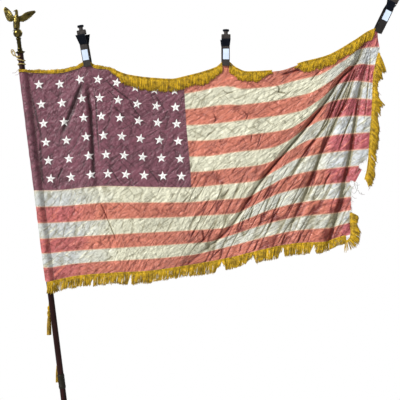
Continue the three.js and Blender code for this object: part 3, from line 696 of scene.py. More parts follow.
def cloth_surface(name, colour, crease_shade_tone, beyond=None, when=(0, 1), stain=(0.35, 0.24, 0.14), seam=None):
    """Thin silk-like weave: fades, crinkles, painted shade in its creases, painted highlights, pale seam
    edges and a fine thread relief.

    Where it has faded, from the first to the second value of when, its colour goes over to beyond, which on
    the white stripes is partly painted shade.
    """
    s = Surface(name, roughness=0.42, Sheen_Weight=0.05, Sheen_Roughness=0.35)
    flat = s.place(flat="flat")
    fade = s.noise(flat, 7.0, 4.0, 0.6)
    shade = s.mix(s.between(fade, 0.3, 0.7), tone(colour, 0.86), tone(colour, 1.14))
    if beyond:
        other = s.mix(s.between(fade, 0.3, 0.7), tone(beyond, 0.86), tone(beyond, 1.12))
        shade = s.mix(s.between(s.mark("beyond"), *when), shade, other)
    # Glints: painted highlight, lighter strokes that stand in for the silk's sheen; the same strokes make the
    # cloth glossier
    glints = s.strokes((14, 75, 1), 0.6, 0.55, 0.68)
    shade = s.mix(s.maths("MULTIPLY", glints, 0.6), shade, tone(colour, 1.4))
    spots = s.noise(flat, 55.0, 2.0)
    shade = s.mix(s.between(spots, 0.66, 0.8, 0.0, 0.3), shade, stain)
    # The painted shade for creases: the colour darkened by the crease tone
    dark = tuple(c * k for c, k in zip(colour, crease_shade_tone))
    relief = s.bump(s.noise(s.place((18, 60, 1), "flat", 0.7), 1.0, 3.0, 0.55, 0.8), 0.006, 0.9)
    relief = s.bump(s.noise(s.place((22, 75, 1), "flat", 2.3), 1.0, 3.0, 0.55, 0.8), 0.0045, 0.9, relief)
    # Dark strokes of painted shade where crease shadows fall, each with a dent in the relief
    for stretch, turn, low, high, strength in CREASE_SHADE_STROKES:
        stroke = s.strokes(stretch, turn, low, high)
        shade = s.mix(s.maths("MULTIPLY", stroke, strength), shade, dark)
        relief = s.bump(s.maths("SUBTRACT", 1.0, stroke), 0.0012, 0.8, relief)
    # Painted shade along the pleats, slanting creases and fold lines, from the crease mark
    shade = s.mix(s.between(s.mark("crease"), 0.1, 0.8, 0.0, 0.92), shade, dark)
    if seam:
        shade = s.mix(s.maths("MULTIPLY", s.mark("seam"), 0.6), shade, seam)
    weave = s.maths("ADD", s.wave(flat, 500.0, "X"), s.wave(flat, 500.0, "Y"))
    relief = s.bump(weave, 0.0001, 0.35, relief)
    return s.finish(shade, s.between(glints, 0.0, 1.0, 0.5, 0.3), relief)


def strand_surface(name, colour, dark, twist=900.0):
    """Twisted gold yarn: each strand has its own tone, partly painted shade, with painted shade in clumps,
    painted highlight specks and a ply relief.
    """
    s = Surface(name, roughness=0.5, Specular_IOR_Level=0.3)
    where = s.place()
    # Each strand's tone, from the darker tone to the lit colour: partly real variation, partly painted shade
    # of shadowed strands
    own = s.mix(s.mark("strand"), dark, colour)
    # Clumps darkened with painted shade
    clump_shade = s.noise(where, 60.0, 3.0)
    shade = s.mix(s.between(clump_shade, 0.4, 0.65, 0.0, 0.7), own, tone(dark, 0.9))
    # Small specks lightened: painted highlight
    shade = s.mix(s.between(s.noise(where, 260.0, 2.0), 0.55, 0.75, 0.0, 0.5), shade, tone(colour, 1.25))
    ply = s.wave(s.place((1, 1, 0.6), turn=0.6), twist, "DIAGONAL")
    return s.finish(shade, None, s.bump(ply, 0.0004, 0.6))


def worn_surface(name, colour, other, grain, roughness, metallic=0.0, relief=0.0003, scuff=90.0, **sockets):
    """A hard finish with grain, mottled tone, fine scratches and uneven gloss."""
    s = Surface(name, metallic=metallic, **sockets)
    grained = s.noise(s.place(grain), 1.0, 5.0, 0.6, 0.4)
    scuffs = s.noise(s.place(), scuff, 6.0, 0.7)
    shade = s.mix(s.between(grained, 0.35, 0.65), colour, other)
    shade = s.mix(s.between(scuffs, 0.6, 0.75, 0.0, 0.4), shade, tone(other, 1.3))
    gloss = s.between(scuffs, 0.3, 0.7, *roughness)
    fine = s.maths("ADD", grained, s.maths("MULTIPLY", scuffs, 0.4))
    return s.finish(shade, gloss, s.bump(fine, relief, 0.6))


# ---------------- settings that a user would change

def colour_setting(name, description, default):
    return FloatVectorProperty(name=name, description=description, subtype="COLOR", size=3, min=0, max=1,
                               default=default)


def size_setting(name, description, default, low, high):
    return FloatProperty(name=name, description=description, unit="LENGTH", default=default, min=low,
                         max=high)


class FLAG_PG_cloth(bpy.types.PropertyGroup):
    canton: colour_setting("Canton", "Faded mauve of the canton", (0.145, 0.043, 0.064))
    red: colour_setting("Red stripes", "Faded brick red", (0.47, 0.14, 0.088))
    pink: colour_setting("Red beyond the fold", "Cooler, less faded red near the fly", (0.37, 0.072, 0.09))
    white: colour_setting("White stripes", "Aged white", (0.56, 0.545, 0.41))
    # Beyond the main fold the white is partly a cooler tone and partly painted shade, darkened for the cloth
    # there that faces away from the key light
    grey: colour_setting("White beyond the fold", "Cooler white beyond the main fold", (0.42, 0.44, 0.45))
    seam: colour_setting("Seam edges", "Pale, worn edge of each sewn seam", (0.66, 0.36, 0.22))
    star: colour_setting("Stars", "Embroidered white", (0.9, 0.88, 0.84))
    star_size: size_setting("Star size", "Distance from a star's centre to its tips", 0.0215, 0.01, 0.04)
    thread: size_setting("Stitch thickness", "Radius of the sewing thread", 0.00022, 0.0001, 0.001)


class FLAG_PG_fringe(bpy.types.PropertyGroup):
    gold: colour_setting("Gold", "Lit side of the yarn", (0.74, 0.46, 0.012))
    # Soiled gold: partly real soiling, partly painted shade; strands and clumps in this tone stand in for
    # shadowed yarn
    shade: colour_setting("Soiled gold", "Worn and soiled yarn", (0.12, 0.07, 0.005))
    drop: size_setting("Drop", "How far the strands fall below the edge", 0.044, 0.02, 0.06)
    strand: size_setting("Strand thickness", "Radius of one strand", 0.0011, 0.0004, 0.002)
    pitch: size_setting("Pitch", "Distance between strands along the edge", 0.0014, 0.0008, 0.004)


class FLAG_PG_pole(bpy.types.PropertyGroup):
    wood: colour_setting("Wood", "Dark stained wood", (0.008, 0.003, 0.003))
    grain: colour_setting("Wood grain", "Lighter streaks of the wood", (0.028, 0.008, 0.007))
    brass: colour_setting("Brass", "Bright brass", (0.16, 0.125, 0.035))
    patina: colour_setting("Patina", "Dull brass in the hollows", (0.02, 0.016, 0.006))
    cord: colour_setting("Cord", "Pale gold cord", (0.5, 0.38, 0.13))
    # Cord shade: partly soiling, partly painted shade in the cord's clumps
    cord_shade: colour_setting("Cord shade", "Soiled cord", (0.25, 0.17, 0.05))


class FLAG_PG_clamps(bpy.types.PropertyGroup):
    steel: colour_setting("Arms", "Grey-brown painted steel", (0.06, 0.05, 0.046))
    bare: colour_setting("Spring", "Zinc plated wire", (0.2, 0.25, 0.31))
    grip: colour_setting("Grips", "Black plastic", (0.003, 0.004, 0.007))
    label: colour_setting("Label", "Bare pale label", (0.6, 0.7, 0.85))
    edge: size_setting("Edge rounding", "Radius that the clamps' edges are rounded to", 0.0009, 0.0002, 0.002)


class FLAG_PG_stage(bpy.types.PropertyGroup):
    floor: colour_setting("Floor", "Pale floor", (0.86, 0.86, 0.85))
    distance: size_setting("Camera distance", "From the camera to the flag's plane", 4.5, 2.0, 10.0)
    view: size_setting("View width", "Width of the view at the flag's plane", 1.68, 0.5, 4.0)


GROUPS = {"flag_cloth": FLAG_PG_cloth, "flag_fringe": FLAG_PG_fringe, "flag_pole": FLAG_PG_pole,
          "flag_clamps": FLAG_PG_clamps, "flag_stage": FLAG_PG_stage}


# ---------------- stage

VIEW_CENTRE = (-0.109, -0.716)
# Area lights: place, size, power in watts
LIGHTS = {
    "fill": ((3.2, -3.4, 0.2), 2.4, 26),
    "rim": ((1.5, 2.6, 1.8), 1.6, 40),
}
# The distant key light: where it shines from, its width in radians and its strength
KEY_FROM, KEY_WIDTH, KEY_STRENGTH = (-1.75, -1.3, 1.35), 0.1, 4.6
SKY_TINT, SKY_STRENGTH = (0.97, 0.98, 1.0, 1), 0.5
FLOOR_RADIUS, FLOOR_DEPTH, FLOOR_SIDES = 2900, 12, 96


class FLAG_OT_stage(bpy.types.Operator):
    """Camera, lights, white surroundings and a pale floor under the pole's foot"""
    bl_idname = "flag.stage"
    bl_label = "Stage"

    def execute(self, context):
        settings = context.scene.flag_stage
        camera = placed("camera", bpy.data.cameras.new("camera"))
        camera.location = (VIEW_CENTRE[0], -settings.distance, VIEW_CENTRE[1])
        camera.rotation_euler = (math.pi / 2, 0, 0)
        camera.data.lens = camera.data.sensor_width * settings.distance / settings.view
        context.scene.camera = camera
        middle = Vector((VIEW_CENTRE[0], 0, VIEW_CENTRE[1]))
        for name, (place, size, power) in LIGHTS.items():
            light = placed(name, bpy.data.lights.new(name, "AREA"))
            light.location = place
            light.rotation_euler = (middle - light.location).to_track_quat("-Z", "Y").to_euler()
            light.data.size = size
            light.data.energy = power
        key = placed("key", bpy.data.lights.new("key", "SUN"))
        key.rotation_euler = Vector(KEY_FROM).to_track_quat("Z", "Y").to_euler()
        key.data.angle = KEY_WIDTH
        key.data.energy = KEY_STRENGTH
        self.surroundings(context)
        self.floor(context, settings.floor)
        context.scene.view_settings.view_transform = "Standard"
        return {"FINISHED"}

    def surroundings(self, context):
        world = bpy.data.worlds.new("surroundings")
        context.scene.world = world
        world.use_nodes = True
        tree = world.node_tree
        lit = tree.nodes["Background"]
        lit.inputs["Color"].default_value = SKY_TINT
        lit.inputs["Strength"].default_value = SKY_STRENGTH
        seen = tree.nodes.new("ShaderNodeBackground")
        seen.inputs["Color"].default_value = (1, 1, 1, 1)
        ray = tree.nodes.new("ShaderNodeLightPath")
        choice = tree.nodes.new("ShaderNodeMixShader")
        tree.links.new(ray.outputs["Is Camera Ray"], choice.inputs[0])
        tree.links.new(lit.outputs[0], choice.inputs[1])
        tree.links.new(seen.outputs[0], choice.inputs[2])
        tree.links.new(choice.outputs[0], tree.nodes["World Output"].inputs["Surface"])

    def floor(self, context, colour):
        level = cad_box[0][2] / MM
        shape = Shape()
        profile = [(0, level - FLOOR_DEPTH), (FLOOR_RADIUS, level - FLOOR_DEPTH), (FLOOR_RADIUS, level - 2),
                   (FLOOR_RADIUS - 3, level), (0, level)]
        shape.add(*turned(profile, FLOOR_SIDES))
        surface = worn_surface("floor", colour, tone(colour, 0.97), (4, 4, 4), (0.5, 0.7), relief=0.0001)
        shape.build("floor", surface)


# ---------------- cloth

def fine_columns(first, last):
    """Column lines from first to last, close enough together for the cloth's cells."""
    start, end = COLUMN_LINES.index(first), COLUMN_LINES.index(last)
    columns = []
    for one, two in zip(COLUMN_LINES[start:end], COLUMN_LINES[start + 1:end + 1]):
        cells = math.ceil(max(abs(b - a) for a, b in zip(one, two)) / CELL)
        columns += [column_between(one, two, k / cells) for k in range(cells)]
    return columns + [last]


SEAM_RIDGE, SEAM_WIDTH, SEAM_PALE = 0.7, 3.0, 2.2
PUCKER, PUCKER_REACH, PUCKER_WAVE = 1.1, 16.0, 15.0


def seam_relief(along, s, top, bottom):
    """How far the cloth stands forward at its sewn edges: a rolled seam with small puckers beside it."""
    away = np.minimum(s - top, bottom - s) * FLAG_WIDTH / STRIPES
    ridge = SEAM_RIDGE * np.exp(-(away / SEAM_WIDTH) ** 2)
    fade = np.clip(away / 4, 0, 1) * np.exp(-away / PUCKER_REACH)
    ripple = noise(along / PUCKER_WAVE, away / 60 + 7, 10)
    ripple = ripple + 0.6 * noise(along / (0.5 * PUCKER_WAVE), away / 30, 11)
    return ridge + PUCKER * fade * ripple


def flat_run(columns, length):
    """How far along the flat cloth each column lies, in millimetres."""
    middle = np.array([np.mean(column) for column in columns])
    return (middle - middle[0]) / (middle[-1] - middle[0]) * length


def sleeve_ring(steps):
    """The sleeve's section, from behind the stitches round to the front, as (across, depth) points."""
    ring = np.array(SLEEVE[::-1])
    ring = np.concatenate([ring, [(19.8, STITCH_DEPTH)]])
    return spline(np.column_stack([ring, np.zeros(len(ring))]), steps)[:, :2]


SLEEVE_STEPS = 26
# How deep a pleat has to be to get the full painted shade
PLEAT_FULL_SHADE = 3.2


def crease_shade_marks(x, z, pleats):
    """How much painted shade the cloth gets in its creases, from 0 to 1: pleats, slanting creases and three
    fold lines.
    """
    crease = np.clip(pleats / PLEAT_FULL_SHADE + slanting_creases(x, z), 0, 1)
    off_fold = (x - MAIN_FOLD.middle(z) - 3) / 6
    crease = np.maximum(crease, np.exp(-off_fold ** 2) * (z < MAIN_FOLD.high))
    for fold in FOLD_SHAPES[1:3]:
        inner = np.exp(-((x - fold.middle(z)) / 8) ** 2) * share(-z, -fold.high, 150 - fold.high)
        crease = np.maximum(crease, inner * (0.55 + 0.25 * noise(z / 45, 0 * z, 4)))
    return crease


def cloth_panel(name, top, bottom, first, last, sleeved, surface, holes=()):
    """One sewn panel from seam top to seam bottom, with its flat coordinates and its marks."""
    columns = fine_columns(first, last)
    rows = round((bottom - top) * FLAG_WIDTH / STRIPES / CELL) + 1
    s = np.linspace(top, bottom, rows)
    net = [column_point(column, s) for column in columns]
    x, z = np.array([n[0] for n in net]).T, np.array([n[1] for n in net]).T
    start = 0 if first is SLEEVE_LINE else CANTON_LENGTH
    length = (CANTON_LENGTH if last is CANTON_LINE else FLAG_LENGTH) - start
    run = np.broadcast_to(start + flat_run(columns, length), x.shape)
    down = np.broadcast_to((s * FLAG_WIDTH / STRIPES)[:, None], x.shape)
    relief = seam_relief(run, s[:, None], top, bottom) * calm(x, z)
    y = cloth_y(x, z) - relief * np.clip(past_hem(x, z) * 4, 0, 1)
    # Painted shade for the creases, kept as a mark on the mesh
    crease = crease_shade_marks(x, z, pleat_depth(x, z) * calm(x, z))
    edge = np.exp(-np.minimum(s - top, bottom - s)[:, None] * FLAG_WIDTH / STRIPES / SEAM_PALE + 0 * x)
    if sleeved:
        ring = sleeve_ring(SLEEVE_STEPS)[:-1]
        axis = pole_axis_x(z[:, :1])
        wave = 1 + 0.05 * noise(z[:, :1] / 24, np.arange(len(ring)) / 4, 1) * (ring[:, 1] > -12)
        x, y = np.hstack([axis + ring[:, 0] * wave, x]), np.hstack([ring[:, 1] * wave, y])
        starts = (z[:, :1], down[:, :1], edge[:, :1], -np.linspace(SLEEVE_GIRTH, 3, len(ring)), 0)
        z, down, edge, run, crease = (np.hstack([np.broadcast_to(first, (rows, len(ring))), rest])
                                      for first, rest in zip(starts, (z, down, edge, run, crease)))
    points = np.stack([x, y, z], -1).reshape(-1, 3)
    faces = net_faces(rows, x.shape[1])[:, ::-1]
    if holes:
        points, faces = torn(points, faces, holes)
    # The beyond mark: fading, and on the white stripes painted shade beyond the main fold
    marks = {"crease": crease.ravel(), "seam": edge.ravel(), "beyond": faded_and_shaded(x, z).ravel()}
    return cloth_mesh(name, points, faces, surface, marks, run.ravel(), down.ravel())


def inside(x, z, outline):
    """Which points of the flag's plane lie inside an outline."""
    found = np.zeros(x.shape, bool)
    for (ax, az), (bx, bz) in zip(outline, outline[1:] + outline[:1]):
        crosses = (az > z) != (bz > z)
        found ^= crosses & (x < ax + (z - az) * (bx - ax) / (bz - az if bz != az else 1))
    return found


def torn(points, faces, holes):
    """Takes away the faces inside each hole, and draws the torn edge's points onto its outline."""
    gone = np.zeros(len(points), bool)
    for outline in holes:
        gone |= inside(points[:, 0], points[:, 2], outline)
    lost = gone[faces].all(1)
    edge = np.zeros(len(points), bool)
    kept = faces[~lost]
    edge[kept[gone[kept].any(1)].ravel()] = True
    for i in np.flatnonzero(edge & gone):
        nearest, closest = 1e9, None
        for outline in holes:
            ring = np.array(outline, float)
            for a, b in zip(ring, np.roll(ring, -1, 0)):
                t = np.clip(np.dot(points[i, [0, 2]] - a, b - a) / max(np.dot(b - a, b - a), 1e-9), 0, 1)
                away = np.hypot(*(points[i, [0, 2]] - a - t * (b - a)))
                if away < nearest:
                    nearest, closest = away, a + t * (b - a)
        points[i, 0], points[i, 2] = closest
    return points, kept


def cloth_mesh(name, points, faces, surface, marks, run, down):
    used = np.zeros(len(points), bool)
    used[faces.ravel()] = True
    number = np.cumsum(used) - 1
    faces = number[faces]
    points, run, down = points[used], run[used], down[used]
    mesh = bpy.data.meshes.new(name)
    mesh.from_pydata((points * MM).tolist(), [], faces.tolist())
    mesh.polygons.foreach_set("use_smooth", [True] * len(mesh.polygons))
    corner = np.empty(len(mesh.loops), np.int32)
    mesh.loops.foreach_get("vertex_index", corner)
    flat = mesh.uv_layers.new(name="flat")
    flat.data.foreach_set("uv", (np.stack([run, -down], 1)[corner] * MM).astype(np.float32).ravel())
    for mark, values in marks.items():
        mesh.attributes.new(mark, "FLOAT", "POINT").data.foreach_set("value", values[used].astype(np.float32))
    mesh.materials.append(surface)
    return placed(name, mesh)


# The holes start in the eighth stripe
FIRST_HOLED = 8


class FLAG_OT_canton(bpy.types.Operator):
    """The canton, with the hem sleeve round the pole"""
    bl_idname = "flag.canton"
    bl_label = "Canton"

    def execute(self, context):
        # The canton's colour, then the tone of its painted crease shade
        surface = cloth_surface("canton_silk", context.scene.flag_cloth.canton, (0.26, 0.16, 0.18),
                                stain=(0.1, 0.05, 0.05))
        piece = cloth_panel("canton_cloth", 0, CANTON_STRIPES, SLEEVE_LINE, CANTON_LINE, True, surface)
        settle(piece, "canton_cloth", "canton")
        return {"FINISHED"}


class FLAG_OT_stripes(bpy.types.Operator):
    """The thirteen sewn stripes, with the lower part of the sleeve and the torn fly"""
    bl_idname = "flag.stripes"
    bl_label = "Stripes"

    def execute(self, context):
        cloth = context.scene.flag_cloth
        seam = cloth.seam
        # Each cloth's colour, then the tone of its painted crease shade; the white's grey beyond the fold is
        # partly painted shade
        red = cloth_surface("red_silk", cloth.red, (0.28, 0.08, 0.06), cloth.pink, (0.5, 1),
                            (0.25, 0.1, 0.06), seam)
        white = cloth_surface("white_silk", cloth.white, (0.4, 0.37, 0.29), cloth.grey, seam=seam)
        for k in range(1, STRIPES + 1):
            whole = k > CANTON_STRIPES
            node = f"stripe_{k:02d}"
            first = SLEEVE_LINE if whole else CANTON_LINE
            surface, slot = (red, "red_cloth") if k % 2 else (white, "white_cloth")
            holes = TEARS if k >= FIRST_HOLED else ()
            piece = cloth_panel(f"{node}_cloth", k - 1, k, first, FLY_LINE, whole, surface, holes)
            settle(piece, slot, node)
        return {"FINISHED"}


STAR_POINTS, STAR_INNER, STAR_EDGE_STEPS, STAR_RINGS = 5, 0.39, 4, 4
STAR_LIFT, STAR_THICKNESS, STAR_SUNK = 0.35, 0.5, 0.3
# How far the stars are turned from upright, in radians
STAR_TURN = 0.12


class FLAG_OT_stars(bpy.types.Operator):
    """Forty-eight raised, embroidered stars that follow the canton's creases"""
    bl_idname = "flag.stars"
    bl_label = "Stars"

    def execute(self, context):
        cloth = context.scene.flag_cloth
        size = cloth.star_size / MM
        shape = Shape()
        for row in range(STAR_ROWS):
            seam = FIRST_STAR_ROW + row * STAR_ROW_STEP
            for across in STARS_ACROSS:
                x, z = column_point(column_between(SLEEVE_LINE, CANTON_LINE, across), np.array(seam))
                beside = column_between(SLEEVE_LINE, CANTON_LINE, across + 0.02)
                beside_x, beside_z = column_point(beside, np.array(seam))
                tilt = math.atan2(float(beside_z - z), float(beside_x - x))
                self.star(shape, float(x), float(z), tilt + STAR_TURN * math.sin(7 * row + 13 * across), size)
        surface = Surface("star_thread", roughness=0.5, Sheen_Weight=0.3)
        where = surface.place()
        satin = surface.wave(where, 900.0, "DIAGONAL", 2.0)
        soiled = surface.between(surface.noise(where, 90.0, 3.0), 0.45, 0.7)
        tint = surface.mix(soiled, tone(cloth.star, 0.92), tone(cloth.star, 0.7))
        surface.finish(tint, None, surface.bump(satin, 0.0003, 0.5))
        settle(shape.build("stars", surface.material, sharp=0), "white_cloth")
        return {"FINISHED"}

    def star(self, shape, x, z, tilt, size):
        corners = []
        for k in range(2 * STAR_POINTS):
            turn = math.pi / 2 + tilt + k * math.pi / STAR_POINTS
            reach = size * (STAR_INNER if k % 2 else 1)
            corners.append((reach * math.cos(turn), reach * math.sin(turn)))
        corners = np.array(corners)
        steps = np.arange(STAR_EDGE_STEPS)[:, None] / STAR_EDGE_STEPS
        outline = np.concatenate([a + (b - a) * steps for a, b in zip(corners, np.roll(corners, -1, 0))])
        rings = [outline * k / STAR_RINGS for k in range(STAR_RINGS, 0, -1)]
        flat = np.concatenate([outline] + rings + [[(0, 0)]])
        px, pz = x + flat[:, 0], z + flat[:, 1]
        lift = np.full(len(flat), STAR_LIFT + STAR_THICKNESS)
        lift[:len(outline)] = -STAR_SUNK
        lift[len(outline):2 * len(outline)] = STAR_LIFT
        y = cloth_y(px, pz) - lift
        n = len(outline)
        faces = [tuple(face) for face in net_faces(STAR_RINGS + 1, n, closed=True)[:, ::-1]]
        centre, last = len(flat) - 1, n * STAR_RINGS
        faces += [(last + k, last + (k + 1) % n, centre) for k in range(n)]
        shape.add(np.stack([px, y, pz], 1), faces)


STITCH_LENGTH, STITCH_PITCH = 2.6, 3.7
# How far a row of stitches lies from its seam, and from the hem, in stripes
SEAM_INSET, HEM_INSET = 0.025, 0.12
STITCH_PALE, STITCH_DARK = (0.6, 0.52, 0.38), (0.42, 0.34, 0.24)


class FLAG_OT_stitching(bpy.types.Operator):
    """Rows of small stitches along the seams, the hems and the sleeve"""
    bl_idname = "flag.stitching"
    bl_label = "Stitching"

    def execute(self, context):
        radius = context.scene.flag_cloth.thread / MM
        lines = []
        for seam in range(1, STRIPES):
            first = CANTON_LINE if seam < CANTON_STRIPES else SLEEVE_LINE
            lines.append(self.across(seam - SEAM_INSET, first))
        lines.append(self.across(HEM_INSET, SLEEVE_LINE))
        lines.append(self.across(STRIPES - HEM_INSET, SLEEVE_LINE))
        for column, top, bottom, inset in ((SLEEVE_LINE, 0, STRIPES, 3), (CANTON_LINE, 0, CANTON_STRIPES, -2),
                                           (FLY_LINE, 0, CANTON_STRIPES + 0.9, -6)):
            s = np.linspace(top + 0.02, bottom - 0.02, 400)
            x, z = column_point(column, s)
            lines.append(np.stack([x + inset, z], 1))
        shape = Shape()
        for line in lines:
            self.stitch(shape, line, radius)
        surface = Surface("sewing_thread", roughness=0.6, Sheen_Weight=0.2)
        twist = surface.wave(surface.place(), 1500.0, "DIAGONAL")
        tint = surface.mix(surface.noise(surface.place(), 60.0), STITCH_PALE, STITCH_DARK)
        surface.finish(tint, None, surface.bump(twist, 0.0001, 0.5))
        settle(shape.build("stitching", surface.material, sharp=0), "white_cloth")
        return {"FINISHED"}

    def across(self, seam, first):
        columns = fine_columns(first, FLY_LINE)
        net = [column_point(column, np.array(float(seam))) for column in columns]
        return np.array([(float(x), float(z)) for x, z in net])

    def stitch(self, shape, line, radius):
        run = run_along(line)
        starts = np.arange(2, run[-1] - STITCH_LENGTH, STITCH_PITCH)
        ends = []
        for offset in (0, STITCH_LENGTH / 2, STITCH_LENGTH):
            x, z = np.interp(starts + offset, run, line[:, 0]), np.interp(starts + offset, run, line[:, 1])
            lift = SEAM_RIDGE + (0.25 if 0 < offset < STITCH_LENGTH else -0.1)
            ends.append(np.stack([x, cloth_y(x, z) - lift, z], 1))
        whole = ~inside(ends[1][:, 0], ends[1][:, 2], TEARS[0])
        strands = np.stack(ends, 1)[whole]
        add_strands(shape, strands, radius, 3)


# ---------------- fringe

TOP_RUN, TOP_FLIP, TOP_BALD = (-868, 630), -478, (195, 300)
BOTTOM_RUN = (-748, 506)
BOTTOM_GAPS = ((-30, -4), (100, 124), (229, 247), (364, 379), (-400, -394), (-560, -556), (-238, -233))
FLY_LINE_POINTS = ((643, -98), (631, -150), (621, -215), (616, -330), (607, -440), (602, -520), (594, -590),
                   (580, -648))
CORNER_POINTS = ((525, -768), (526, -800), (527, -830), (528, -853), (523, -876), (511, -888), (497, -888))
# How far the fly's strands reach out sideways and fall, at heights down the edge
FLY_REACH = ((-648, 11), (-590, 22), (-520, 27), (-420, 27), (-330, 20), (-285, 38), (-240, 16), (-185, 12),
             (-165, 22), (-98, 25))
FLY_FALL = ((-648, 34), (-285, 30), (-200, 24), (-165, 30), (-98, 58))
BRAID_HEIGHT, BRAID_LIFT, BRAID_STEP = 8.0, 0.9, 1.5
BRAID_EDGE, BRAID_PAIR = 1.25, 0.85
# How far in front of the cloth the strands start
ROOT_LIFT = 2.2
STRAND_STEPS = 6
# How far from a clamp's middle the top fringe stops
CLAMP_GAP = 15


def braid(shape, line, out, random):
    """A narrow woven heading along a line of (x, y, z) points: two plied edges and slanted pairs between."""
    for offset in (-0.5, 0.5):
        edge = line + out * BRAID_HEIGHT * offset
        edge[:, 1] += 0.25 * np.sin(np.arange(len(line)) * 2.2)
        add_strands(shape, edge[None], BRAID_EDGE, 6, 0.75)
    half = out * BRAID_HEIGHT * 0.45
    middle = line[1:-1] - np.array([0, 0.5, 0])
    pairs = np.stack([line[:-2] - half[:-2], middle, line[2:] + half[2:]], 1)
    add_strands(shape, pairs, BRAID_PAIR, 4, random.uniform(0.35, 0.95, len(pairs)))


def bows(random, count, aside, low, high):
    """How count strands bow: about aside to either side, low to high in depth, and a little up or down."""
    return np.stack([random.normal(0, aside, count), random.uniform(low, high, count),
                     random.normal(0, 0.6, count)], 1)


def hang(roots, tips, bow, random, radius, shape, marks):
    """Strands from roots to tips, bowed by bow in between and slightly curled."""
    t = np.linspace(0, 1, STRAND_STEPS)[None, :, None]
    lines = roots[:, None] + (tips - roots)[:, None] * t + bow[:, None] * np.sin(math.pi * t)
    curl = random.normal(0, 0.8, (len(roots), 1, 3))
    curl = curl * np.sin(2 * math.pi * t + random.uniform(0, 6, (len(roots), 1, 1)))
    lines = lines + curl * t
    thickness = radius * (1 - 0.35 * t[..., 0] ** 4) * random.uniform(0.8, 1.2, (len(roots), 1))
    add_strands(shape, lines, thickness, 4, marks)


